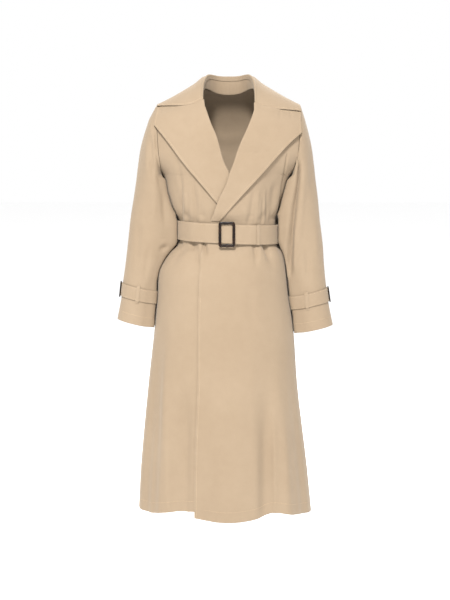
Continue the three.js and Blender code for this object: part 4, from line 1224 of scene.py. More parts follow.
@dataclass
class Collar:
    """Collar fall rolled over its stand round the open neck."""

    room: Workroom
    wall: float = 1.3
    lying_gap: float = 1.5
    cad_wall: float = 1.8
    centre_x: float = 4.0
    gorge_rows: float = 3.0
    gorge: Course = Course(
        "share right left",
        (
            (0, 52.4, 47.5), (0.2, 52.3, 47.8), (0.36, 53, 48.3), (0.55, 56.2, 50.7),
            (0.75, 61.3, 53.5), (0.9, 66.2, 56.0), (1, 70.2, 57.8),
        ),
    )
    tip_lift: float = 5.0
    stand_gap: float = 2.1
    foot_tuck: float = 6.0
    roll: float = 2.3
    leg: float = 9.0
    stitch_inset: float = 5.5
    end_points: int = 24
    roll_rows: float = 1.5
    roll_least: float = 0.35
    leg_rows: float = 2.0
    leg_step: float = 0.4
    foot_over: float = 1.0
    foot_row: float = 2.0
    stand_bow: float = 0.8
    steps: int = 9
    columns: int = 26
    shape: Course = Course(
        "row foldX foldOver up edgeX edgeOver",
        (
            (0, 66.5, 48, 0, 186.5, 71.5), (1, 69.5, 60, 7, 188, 82), (2, 69.5, 72, 15, 188, 88),
            (3, 65, 83, 23, 182, 95), (4, 58, 93, 30, 171, 105), (5, 49, 101, 34, 152, 117),
            (6, 35, 108, 37, 119, 129), (7, 18, 111.5, 39, 71, 137), (8, 0, 112.4, 40, 0, 140),
        ),
    )

    def point(self, side: Array, row: Array, share: Array, lift: Array = 0.0) -> Array:
        """Find points of the fall.

        Args:
            side: -1 on the wearer's right, 1 on the left.
            row: From the gorge (0) to the centre back (8).
            share: From the fold (0) to the outer edge (1).
            lift: How far they stand off the fall's outer face.

        Returns:
            Points in millimetres.
        """
        fold_x, fold_over, up, edge_x, edge_over = (
            self.shape.curve(name, row) for name in ("foldX", "foldOver", "up", "edgeX", "edgeOver")
        )
        near = smooth(1.0 - row / self.gorge_rows)
        x = self.centre_x + side * mix(fold_x, edge_x, share)
        over = mix(fold_over, edge_over, share)
        seam = np.where(side > 0, self.gorge.curve("left", share), self.gorge.curve("right", share))
        over = mix(over, seam, near)
        tip = self.tip_lift * share * share * near
        found = self.room.trunk.cap(x, over, self.lying_gap + self.cad_wall + tip + lift)
        found[..., 2] += up * (1.0 - share)
        return found

    def _lines(self) -> tuple[Array, Array]:
        """Sides and rows of the lines round the neck, from the right gorge to the left one."""
        half = np.linspace(0.0, 8.0, 8 * self.steps + 1)
        side = np.r_[-np.ones(len(half)), np.ones(len(half) - 1)]
        return side, np.r_[half, half[-2::-1]]

    def fall_grid(self) -> Cloth:
        """Lay out the fall, its roll and the short leg inside."""
        side, row = self._lines()
        share = np.linspace(0.0, 1.0, self.columns)[::-1]
        fall = self.point(side[:, None], row[:, None], share[None])
        fold = fall[:, -1]
        inward = fold - np.array([self.centre_x, 0.0, 0.0])
        inward[:, 2] = 0.0
        inward = -unit(inward)
        up = np.array([0.0, 0.0, 1.0])
        turns = np.radians(np.linspace(20.0, 180.0, 9))
        share_in = smooth(np.minimum(row, self.roll_rows) / self.roll_rows)[:, None, None]
        reach = self.roll * share_in + self.roll_least
        arc = (
            fold[:, None]
            + inward[:, None] * reach * (1.0 - np.cos(turns))[None, :, None]
            + up * (reach * np.sin(turns)[None, :, None])
        )
        leg = np.linspace(0.0, self.leg, 5)[1:]
        depth = leg[None, :, None] * smooth(row / self.leg_rows)[:, None, None]
        depth = depth + self.leg_step * np.arange(1, 5)[None, :, None]
        inner = arc[:, -1:] - up * depth
        points = np.concatenate([fall, arc, inner], axis=1)
        outward = np.zeros_like(points)
        outward[:, : self.columns, 2] = 1.0
        return Cloth(points, self.wall, outward)

    def stand_grid(self) -> Cloth:
        """Lay out the stand."""
        side, row = self._lines()
        kept = row >= 1.0
        side, row = side[kept], row[kept]
        fold = self.point(side, row, np.zeros(len(row)))
        inward = fold - np.array([self.centre_x, 0.0, 0.0])
        inward[:, 2] = 0.0
        inward = -unit(inward)
        share = np.linspace(0.0, 1.0, 9)
        top = self.cad_wall / 2.0
        tuck = self.foot_tuck * smooth((row - self.foot_row) / self.foot_row)
        foot = self.shape.curve("up", row) + self.foot_over + tuck
        drop = mix(top, foot[:, None], share[None])
        bow = self.stand_bow * np.sin(np.pi * share)
        points = fold[:, None] + inward[:, None] * (self.stand_gap + bow)[None, :, None]
        points[..., 2] -= drop
        return Cloth(points, self.wall, -np.broadcast_to(inward[:, None], points.shape))

    def build(self) -> None:
        """Build, sew and dress the collar."""
        fall = self.fall_grid()
        start, top, bottom = (
            fall.inset(edge, self.stitch_inset) for edge in (Edge.START, Edge.TOP, Edge.BOTTOM)
        )
        lines = [start, top[: self.end_points], bottom[: self.end_points]]
        sewn = self.room.needle.sew("stitching_collar", lines)
        piece = fall.build("coat_collar_fall", self.room.cloth)
        Sheet(("collar_fall",), (0.66, 0.13), Held.FOLDED, ("coat_back",), 0.062).declare(piece)
        piece = self.stand_grid().build("coat_collar_stand", self.room.cloth)
        Sheet(("collar_stand",), (0.31, 0.036), Held.FOLDED, ("coat_back",), 0.0075).declare(piece)


@dataclass
class Lapels:
    """Two broad lapels turned back along their rolls."""

    room: Workroom
    panels: Panels
    collar: Collar
    wall: float = 1.3
    columns: int = 44
    steps: int = 9
    roll_steps: int = 8
    tip_rows: float = 6.0
    notch_share: float = 0.36
    notch_gap: float = 2.6
    tip_lift: float = 2.2
    edge_lift: float = 6.4
    notch_tuck: float = 1.7
    stitch_inset: float = 5.5
    notch_stitch_column: int = 26
    notch_open: float = 4.0
    notch_least: float = 0.3
    notch_rows: float = 1.3
    free_rows: tuple[float, float] = (2.0, 4.0)
    roll_turns: tuple[float, float] = (150.0, 18.0)
    creases: tuple[Crease, ...] = (
        Crease(((136, -60), (138, -88)), 2.4, -1.2, 0.2, 0.4),
        Crease(((165, -62), (166, -92)), 2.6, -1.4, 0.2, 0.4),
        Crease(((-174, -52), (-173, -82)), 2.6, -1.2, 0.2, 0.4),
        Crease(((-120, -60), (-112, -120)), 14, -1.6, 0.4, 0.4),
        Crease(((-96, -80), (-84, -150)), 12, 1.2, 0.4, 0.4),
        Crease(((112, -80), (104, -150)), 14, -1.4, 0.4, 0.4),
        Crease(((82, -110), (60, -200)), 12, 1, 0.4, 0.4),
    )
    right: tuple[tuple[float, ...], ...] = (
        (-50, -184.5, -73), (-66, -187, -100), (-88, -163, -129), (-112, -141.5, -157),
        (-140, -122, -184), (-168, -102, -209), (-198, -81.7, -233), (-230, -59, -261),
        (-262, -36, -290), (-292, -16, -314), (-318, -4, -326),
    )
    left: tuple[tuple[float, ...], ...] = (
        (-62, 190, -90), (-78, 188.5, -121), (-98, 165, -141), (-120, 146, -160),
        (-145, 127.5, -179.5), (-170, 108, -200), (-198, 86, -224), (-230, 61, -252),
        (-262, 38, -278), (-293, 17, -303), (-322, -2, -326), (-347, -20, -348),
    )

    def grid(self, side: int, rows: tuple[tuple[float, ...], ...], edge: Course) -> Cloth:
        """Lay out one lapel with its rolled fold.

        Args:
            side: -1 on the wearer's right, 1 on the left.
            rows: Height on the roll, then x and z of the outer edge, down the lapel.
            edge: The roll, x by height.

        Returns:
            The grid, with its wall.
        """
        trunk = self.room.trunk
        table = Course("row rollZ edgeX edgeZ", tuple((i + 1, *row) for i, row in enumerate(rows)))
        at = np.linspace(0.0, len(rows), len(rows) * self.steps + 1)[:, None]
        share = np.linspace(0.0, 1.0, self.columns)[None]
        row = np.maximum(at, 1.0)
        roll_z, edge_x, edge_z = (table.line(name, row) for name in ("rollZ", "edgeX", "edgeZ"))
        x = mix(self.panels.edge_x(edge, side, roll_z), edge_x, share)
        z = mix(roll_z, edge_z, share)
        gorge = self.collar.point(np.full(share.shape, side), np.zeros(share.shape), share)
        open_ = smooth((share - self.notch_share) * self.notch_open)
        gap = self.notch_least + (self.notch_gap - self.notch_least) * open_
        top = np.clip(1.0 - at, 0.0, 1.0)
        x = mix(x, gorge[..., 0], top)
        z = mix(z, gorge[..., 2] - gap, top)
        station = np.minimum(z - trunk.chest_z, 0.0)
        tip = self.tip_lift * share**2 * np.clip(1.0 - at / self.tip_rows, 0.0, 1.0)
        first, last = self.free_rows
        free = self.edge_lift * share**3 * smooth(at / first) * smooth((len(rows) - at) / last)
        stand = self.collar.lying_gap + self.collar.cad_wall + tip + free
        stand = stand + creased(self.creases, x, z) - self.notch_tuck * open_ * smooth(self.notch_rows - at)
        base = self.panels.overlap_lift(trunk.turn_at(x, station), station) if side > 0 else 0.0
        points = trunk.front(x, z, base + stand)
        flat = trunk.front(x, z, np.zeros(x.shape))
        facing = unit(points - flat)
        radius = (self.collar.lying_gap + self.collar.cad_wall + self.wall) / 2.0
        turns = np.radians(np.linspace(*self.roll_turns, self.roll_steps))
        out = points[:, 0] - points[:, 2]
        out = unit(out - facing[:, 0] * (out * facing[:, 0]).sum(-1, keepdims=True))
        centre = points[:, 0] - facing[:, 0] * radius
        arc = (
            centre[:, None]
            + facing[:, :1] * radius * np.cos(turns)[None, :, None]
            + out[:, None] * radius * np.sin(turns)[None, :, None]
        )
        both = np.concatenate([arc, points], axis=1)
        outward = np.concatenate([facing[:, :1] * np.cos(turns)[None, :, None], facing], axis=1)
        return Cloth(both, self.wall, outward)

    def build(self) -> None:
        """Build, sew and dress both lapels."""
        panels = self.panels
        for word, side, rows, edge, area in (
            ("right", -1, self.right, panels.right_edge, 0.034),
            ("left", 1, self.left, panels.left_edge, 0.031),
        ):
            cloth = self.grid(side, rows, edge)
            edge_line = cloth.inset(Edge.END, self.stitch_inset)
            notch_line = cloth.inset(Edge.TOP, self.stitch_inset)[self.notch_stitch_column :]
            sewn = self.room.needle.sew(f"stitching_lapel_{word}", [edge_line, notch_line])
            piece = cloth.build(f"coat_lapel_{word}", self.room.cloth)
            sheet = Sheet((f"lapel_{word}",), (0.26, 0.36), Held.FOLDED, (f"coat_front_{word}",), area)
            sheet.declare(piece)


@dataclass(frozen=True)
class BuckleFrame:
    """Rectangular buckle frame with round corners and a softened section."""

    width: float
    height: float
    rim: float
    radius: float
    thick: float
    arc: int = 7
    section: int = 16
    softness: float = 3.2

    def build(
        self, name: str, material: bpy.types.Material, seat: Array, across: Array, up: Array, out: Array
    ) -> bpy.types.Object:
        """Sweep the section round the frame.

        Args:
            name: Name of the piece.
            material: Its finish.
            seat: Middle of the frame's back.
            across: Direction of its width.
            up: Direction of its height.
            out: Direction in which it faces.

        Returns:
            The object.
        """
        half_w, half_h = (self.width - self.rim) / 2.0, (self.height - self.rim) / 2.0
        bend = self.radius - self.rim / 2.0
        path, normal = [], []
        for index, (sx, sz) in enumerate(((1, 1), (-1, 1), (-1, -1), (1, -1))):
            for turn in np.radians(90.0 * index + np.linspace(0.0, 90.0, self.arc)):
                direction = np.array([math.cos(turn), math.sin(turn)])
                path.append(np.array([sx * (half_w - bend), sz * (half_h - bend)]) + bend * direction)
                normal.append(direction)
            following = ((-1, 1), (-1, -1), (1, -1), (1, 1))[index]
            start = path[-1]
            end = np.array([following[0] * (half_w - bend), following[1] * (half_h - bend)])
            end = end + bend * normal[-1]
            for share in np.linspace(0.0, 1.0, 14)[1:-1]:
                path.append(mix(start, end, share))
                normal.append(normal[-1])
        path, normal = np.array(path), np.array(normal)
        turns = np.linspace(0.0, 2.0 * math.pi, self.section, endpoint=False)
        bow = 2.0 / self.softness
        u = self.rim / 2.0 * np.sign(np.cos(turns)) * np.abs(np.cos(turns)) ** bow
        v = self.thick / 2.0 * (1.0 + np.sign(np.sin(turns)) * np.abs(np.sin(turns)) ** bow)
        flat = path[:, None] + normal[:, None] * u[None, :, None]
        points = (
            seat
            + flat[..., :1] * across
            + flat[..., 1:] * up
            + np.broadcast_to(v[None, :, None], (*flat.shape[:2], 1)) * out
        )
        rows, columns = points.shape[:2]
        index = np.arange(rows * columns).reshape(rows, columns)
        along, round_ = np.roll(index, -1, axis=0), np.roll(index, -1, axis=1)
        faces = np.stack([index, along, np.roll(along, -1, axis=1), round_], -1).reshape(-1, 4)
        corner = points.reshape(-1, 3)[faces]
        volume = (corner[:, 0] * np.cross(corner[:, 1], corner[:, 2])).sum()
        volume += (corner[:, 0] * np.cross(corner[:, 2], corner[:, 3])).sum()
        return new_piece(name, points.reshape(-1, 3), faces if volume > 0.0 else faces[:, ::-1], material)


def finish_buckle(piece: bpy.types.Object, node: str) -> None:
    """Tie a buckle to the frame.

    Args:
        piece: The buckle.
        node: The solid it stands for.
    """
    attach(piece, "root")
    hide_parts(node)
    log.info("%s: resin, %d faces", piece.name, len(piece.data.polygons))


@dataclass
class Sleeves:
    """Two long sleeves with buckled straps above the open cuffs."""

    room: Workroom
    wall: float = 1.3
    head_gap: float = 0.4
    underarm_blend: float = 80.0
    centre_rings: float = 3.0
    columns: int = 104
    steps: int = 14
    strap_top: float = 9.05
    strap_bottom: float = 9.85
    strap_lift: float = 1.1
    strap_wall: float = 1.8
    strap_stitch: float = 3.0
    cuff_stitch: float = 25.0
    loop_half: float = 5.5
    loop_wall: float = 1.2
    loop_seat: float = 0.3
    loop_over: float = 0.2
    loop_margin: float = 0.07
    loop_turns: tuple[float, float] = (86.0, 98.0)
    crease_y: float = 4.0
    crease_blend: float = 26.0
    near_turn: float = 4.0
    near_ring: float = 0.1
    frame: BuckleFrame = BuckleFrame(24.0, 43.0, 4.5, 4.0, 3.2)
    room_beside: Course = Course(
        "z gap",
        (
            (-226, 0), (-250, 1.3), (-334, 1.9), (-347, 8.6), (-415, 8.6), (-430, 2.4), (-500, 2.2),
            (-512, 4.2), (-610, 4.2), (-626, 2.2), (-700, 2.2),
        ),
    )
    # Rings down each sleeve: highest, outermost point, then lowest, innermost point, depth, middle
    right: Course = Course(
        "ring outX outZ inX inZ depth midY",
        (
            (0, 207, -82, 172, -240, 71, 0), (1, 220, -120, 169, -251, 70, 0),
            (2, 231, -158, 166, -266, 68, 1), (3, 238, -200, 158, -286, 66, 2),
            (4, 244, -246, 149, -312, 63, 3), (5, 251, -292, 139, -340, 60, 4),
            (6, 260, -348, 134, -382, 57, 4), (7, 267, -410, 146, -436, 54, 3),
            (8, 274, -468, 166, -492, 51, 2), (9, 281, -517, 184, -540, 47, 1),
            (10, 286, -562, 190, -584, 45, 0), (11, 297, -617, 196.6, -640.6, 48, 0),
        ),
    )
    left: Course = Course(
        "ring outX outZ inX inZ depth midY",
        (
            (0, 208, -82, 170, -243, 71, 0), (1, 218, -120, 165, -254, 70, 0),
            (2, 226, -158, 158, -268, 68, 1), (3, 232, -203, 152, -288, 66, 2),
            (4, 237, -246, 144, -314, 63, 3), (5, 243.5, -295, 136, -344, 60, 4),
            (6, 249, -352, 132, -388, 57, 4), (7, 257, -415, 141, -442, 54, 3),
            (8, 261, -472, 152, -500, 51, 2), (9, 267, -530, 168, -555, 47, 1),
            (10, 274, -577, 171, -600, 45, 0), (11, 285.7, -633, 179.3, -656, 48, 0),
        ),
    )
    wrap_behind: tuple[float, float, float] = (14.0, 56.0, 88.0)
    wrap_ahead: tuple[float, float, float] = (8.0, 34.0, 62.0)
    wrap_z: tuple[float, float] = (-226.0, -246.0)
    belt_gap: float = 5.9
    right_front: tuple[Crease, ...] = (
        Crease(((-202, -116), (-199, -177), (-196, -262)), 5, -3, 0.3, 0.4),
        Crease(((-187, -112), (-185, -172)), 4, -2, 0.3, 0.4),
        Crease(((-212, -130), (-213, -250)), 7, 2.2, 0.3, 0.4),
        Crease(((-182, -433), (-170, -424), (-158, -417)), 5, -5, 0.5, 0.2),
        Crease(((-178, -414), (-162, -404)), 7, 2.4, 0.4, 0.4),
        Crease(((-234, -330), (-240, -490)), 8, -2.4, 0.4, 0.4),
        Crease(((-205, -400), (-224, -520)), 7, -2.6, 0.4, 0.4),
        Crease(((-190, -250), (-196, -380)), 9, 2.4, 0.4, 0.4),
        Crease(((-170, -262), (-166, -372)), 6, -2.8, 0.4, 0.4),
    )
    left_front: tuple[Crease, ...] = (
        Crease(
            ((191, -170), (184, -250), (175, -320), (169, -388), (166, -460), (168, -530)),
            6.5, -15, 0.15, 0.25,
        ),
        Crease(((205, -200), (196, -300), (188, -400), (186, -500)), 9, 3.4, 0.3, 0.3),
        Crease(((218, -150), (227, -300)), 7, -2.4, 0.4, 0.4),
        Crease(((150, -330), (149, -412)), 3, -2.4, 0.3, 0.3),
        Crease(((209, -410), (219, -528)), 8, -3.4, 0.4, 0.4),
        Crease(((181, -330), (178, -420), (178, -500)), 5, 3.4, 0.3, 0.3),
        Crease(((232, -330), (240, -480)), 8, 1.8, 0.4, 0.4),
    )
    right_back: tuple[Crease, ...] = (
        Crease(((-200, -130), (-194, -250)), 7, -3.4, 0.3, 0.4),
        Crease(((-176, -250), (-170, -380), (-176, -500)), 8, -6, 0.3, 0.3),
        Crease(((-214, -300), (-226, -470)), 8, 2.6, 0.4, 0.4),
        Crease(((-236, -350), (-196, -392)), 7, -3.6, 0.4, 0.4),
        Crease(((-232, -400), (-200, -420)), 6, -2.6, 0.4, 0.4),
    )
    left_back: tuple[Crease, ...] = (
        Crease(((204, -136), (192, -262)), 7, -3.4, 0.3, 0.4),
        Crease(((178, -250), (168, -384), (174, -516)), 8, -6, 0.3, 0.3),
        Crease(((216, -310), (226, -480)), 8, 2.6, 0.4, 0.4),
        Crease(((232, -356), (194, -400)), 7, -3.6, 0.4, 0.4),
        Crease(((230, -408), (198, -432)), 6, -2.6, 0.4, 0.4),
    )

    def _clear(self, x: Array, y: Array, z: Array, side: int, turn: Array) -> Array:
        """Push x out until the sleeve keeps its room, and draw it in behind the body.

        Args:
            x: Distance across, times the side.
            y: Depth.
            z: Height.
            side: -1 on the wearer's right, 1 on the left.
            turn: Round the sleeve.

        Returns:
            The distance across, times the side.
        """
        trunk = self.room.trunk
        half, front, back, centre = trunk.outline(z)
        gap = self.room_beside.line("gap", z)
        gap = np.minimum(gap, self.belt_gap) if side < 0 else gap
        depth = np.where(y < 0.0, front, back) + gap
        share = np.clip(np.abs(y) / depth, 0.0, 1.0)
        edge = (half + gap) * (1.0 - share**trunk.squareness) ** (1.0 / trunk.squareness)
        limit = centre * side + edge
        kept = (z >= self.room_beside.rows[0][0]) | (np.abs(y) >= depth)
        away = np.mod(turn, 360.0) - 180.0
        start, full, end = (
            np.where(away > 0.0, back_, front_) for back_, front_ in zip(self.wrap_behind, self.wrap_ahead)
        )
        away = np.abs(away)
        wrap = smooth(away / start) * smooth((end - away) / (end - full))
        wrap = wrap * smooth((self.wrap_z[0] - z) / (self.wrap_z[0] - self.wrap_z[1]))
        drawn = mix(x, np.minimum(x, limit), wrap)
        return np.where(kept, x, np.maximum(drawn, limit))

    def point(self, rings: Course, side: int, turn: Array, down: Array) -> Array:
        """Find points of a sleeve's outer face.

        Args:
            rings: The sleeve's rings.
            side: -1 on the wearer's right, 1 on the left.
            turn: Round the sleeve from the shoulder (0) over the front (90).
            down: Ring, -1 at the armhole.

        Returns:
            Points in millimetres.
        """
        trunk = self.room.trunk
        turn, down = np.broadcast_arrays(np.asarray(turn, float), np.asarray(down, float))
        ring = np.maximum(down, 0.0)
        out_x, out_z, in_x, in_z, depth, mid_y = (
            rings.curve(name, ring) for name in ("outX", "outZ", "inX", "inZ", "depth", "midY")
        )
        centre = trunk.outline(np.array(trunk.chest_z - trunk.underarm))[3]
        centre = centre * smooth(1.0 - ring / self.centre_rings)
        swing = (1.0 + np.cos(np.radians(turn))) / 2.0
        y = mid_y - depth * np.sin(np.radians(turn))
        z = mix(in_z, out_z, swing)
        x = centre + side * mix(in_x, out_x, swing)
        x = side * self._clear(side * x, y, z, side, turn)
        own = np.stack([x, y, z], -1)
        turned = np.mod(turn, 360.0)
        front = turned <= 180.0
        from_top = np.where(front, turned, 360.0 - turned)
        low = trunk.underarm * np.cos(np.radians(from_top))
        station = np.where(from_top <= 90.0, 90.0 - from_top, low)
        reach = trunk.side_turn(station)
        head = trunk.point(side * np.where(front, reach, 180.0 - reach), station)
        under = smooth((from_top - 90.0) / self.underarm_blend)
        head[..., 0] += side * self.head_gap * (1.0 - under)
        head[..., 2] += self.head_gap * under
        return mix(head, own, np.clip(1.0 + down, 0.0, 1.0)[..., None])

    def push(self, side: int, points: Array) -> Array:
        """Add up the creases of one sleeve.

        Args:
            side: -1 on the wearer's right, 1 on the left.
            points: Bare points of the sleeve.

        Returns:
            The push outwards.
        """
        front, back = (
            (self.left_front, self.left_back) if side > 0 else (self.right_front, self.right_back)
        )
        ahead = smooth((self.crease_y - points[..., 1]) / self.crease_blend)
        behind = smooth((points[..., 1] - self.crease_y) / self.crease_blend)
        x, z = points[..., 0], points[..., 2]
        return creased(front, x, z) * ahead + creased(back, x, z) * behind

    def grid(self, rings: Course, side: int, down: Array, columns: int, lift: float, wall: float) -> Cloth:
        """Lay out a tube on the sleeve.

        Args:
            rings: The sleeve's rings.
            side: -1 on the wearer's right, 1 on the left.
            down: Rings of its rows.
            columns: Number of columns round it.
            lift: How far it stands off the sleeve's outer face.
            wall: Thickness of its cloth.

        Returns:
            The grid, with its wall.
        """
        turn = np.arange(columns)[None] * 360.0 / columns
        base = self.point(rings, side, turn, down[:, None])
        middle = base.mean(axis=1, keepdims=True)
        bare = Cloth(base, wall, base - middle, around=True)
        points = base + bare.facing() * (lift + self.push(side, base))[..., None]
        return Cloth(points, wall, base - middle, around=True)

    def patch(self, rings: Course, side: int, turn: Array, down: Array, lift: Array) -> Array:
        """Find points that stand off the sleeve by a lift.

        Args:
            rings: The sleeve's rings.
            side: -1 on the wearer's right, 1 on the left.
            turn: Round the sleeve.
            down: Ring.
            lift: Distance off its outer face.

        Returns:
            Points in millimetres.
        """
        here = self.point(rings, side, turn, down)
        near, next_ = self.near_turn, self.near_ring
        across = self.point(rings, side, turn + near, down) - self.point(rings, side, turn - near, down)
        along = self.point(rings, side, turn, down + next_) - self.point(rings, side, turn, down - next_)
        middle = (self.point(rings, side, 0.0, down) + self.point(rings, side, 180.0, down)) / 2.0
        facing = unit(np.cross(across, along))
        facing = facing * np.where((facing * (here - middle)).sum(-1) < 0.0, -1.0, 1.0)[..., None]
        return here + facing * (np.asarray(lift) + self.push(side, here))[..., None]

    def build(self) -> None:
        """Build, sew and dress both sleeves with their straps, loops and buckles."""
        arms = (("right", -1, self.right), ("left", 1, self.left))
        for (word, side, rings), loop_turn in zip(arms, self.loop_turns):
            self._sleeve(word, side, rings)
            self._strap(word, side, rings, loop_turn)

    def _sleeve(self, word: str, side: int, rings: Course) -> None:
        """Build one sleeve.

        Args:
            word: "right" or "left".
            side: -1 on the wearer's right, 1 on the left.
            rings: The sleeve's rings.
        """
        last = rings.rows[-1][0]
        down = np.r_[np.linspace(-1.0, 0.0, 8)[:-1], np.linspace(0.0, last, last * self.steps + 1)]
        cloth = self.grid(rings, side, down, self.columns, 0.0, self.wall)
        sewn = self.room.needle.sew(f"stitching_cuff_{word}", [cloth.inset(Edge.BOTTOM, self.cuff_stitch)])
        piece = cloth.build(f"coat_sleeve_{word}", self.room.cloth)
        sheet = Sheet((f"sleeve_{word}",), (0.44, 0.62), Held.HUNG, (f"coat_front_{word}",), 0.158)
        sheet.declare(piece)

    def _strap(self, word: str, side: int, rings: Course, loop_turn: float) -> None:
        """Build one cuff strap, then its loop and buckle.

        Args:
            word: "right" or "left".
            side: -1 on the wearer's right, 1 on the left.
            rings: The sleeve's rings.
            loop_turn: Turn of the loop round the sleeve.
        """
        down = np.linspace(self.strap_top, self.strap_bottom, 11)
        over = self.strap_lift + self.strap_wall
        strap = self.grid(rings, side, down, self.columns, over, self.strap_wall)
        lines = [strap.inset(edge, self.strap_stitch) for edge in (Edge.TOP, Edge.BOTTOM)]
        sewn = self.room.needle.sew(f"stitching_strap_{word}", lines)
        piece = strap.build(f"coat_cuff_strap_{word}", self.room.cloth)
        on = (f"coat_sleeve_{word}",)
        sheet = Sheet((f"cuff_strap_{word}",), (0.29, 0.041), Held.STRETCHED, on, 0.0108)
        sheet.declare(piece)
        self._loop(word, side, rings, loop_turn)
        self._buckle(word, side, rings)

    def _loop(self, word: str, side: int, rings: Course, loop_turn: float) -> None:
        """Build the loop over one cuff strap.

        Args:
            word: "right" or "left".
            side: -1 on the wearer's right, 1 on the left.
            rings: The sleeve's rings.
            loop_turn: Turn of the loop round the sleeve.
        """
        margin, seat = self.loop_margin, self.loop_seat
        over = self.strap_lift + self.strap_wall + self.loop_over
        top, bottom = self.strap_top, self.strap_bottom
        down = [top - 2 * margin, top - margin, top - margin / 3, top + margin / 3]
        down += [bottom - margin / 3, bottom + margin / 3, bottom + margin, bottom + 2 * margin]
        lifts = Course("down lift", tuple(zip(down, (seat, seat, over, over, over, over, seat, seat))))
        at = np.linspace(down[0], down[-1], 33)[:, None]
        turn = loop_turn + np.linspace(-self.loop_half, self.loop_half, 7)[None]
        at, turn = np.broadcast_arrays(at, turn)
        points = self.patch(rings, side, turn, at, lifts.line("lift", at) + self.loop_wall)
        middle = (self.point(rings, side, 0.0, at) + self.point(rings, side, 180.0, at)) / 2.0
        cloth = Cloth(points, self.loop_wall, points - middle)
        piece = cloth.build(f"coat_cuff_loop_{word}", self.room.cloth)
        on = (f"coat_cuff_strap_{word}",)
        Sheet((f"cuff_loop_{word}",), (0.012, 0.062), Held.STRETCHED, on).declare(piece)

    def _buckle(self, word: str, side: int, rings: Course) -> None:
        """Build the buckle of one cuff strap.

        Args:
            word: "right" or "left".
            side: -1 on the wearer's right, 1 on the left.
            rings: The sleeve's rings.
        """
        middle, face = (self.strap_top + self.strap_bottom) / 2.0, self.strap_lift + self.strap_wall
        places = ((middle, face + self.loop_seat), (self.strap_bottom, face), (self.strap_top, face))
        seat, low, high = (self.patch(rings, side, *map(np.array, (0.0, *place))) for place in places)
        up = unit(high - low)
        out = unit(np.array([-up[2], 0.0, up[0]]) * (-side))
        name = f"cuff_buckle_{word}"
        piece = self.frame.build(f"coat_{name}", self.room.resin, seat, np.cross(up, out), up, out)
        finish_buckle(piece, name)


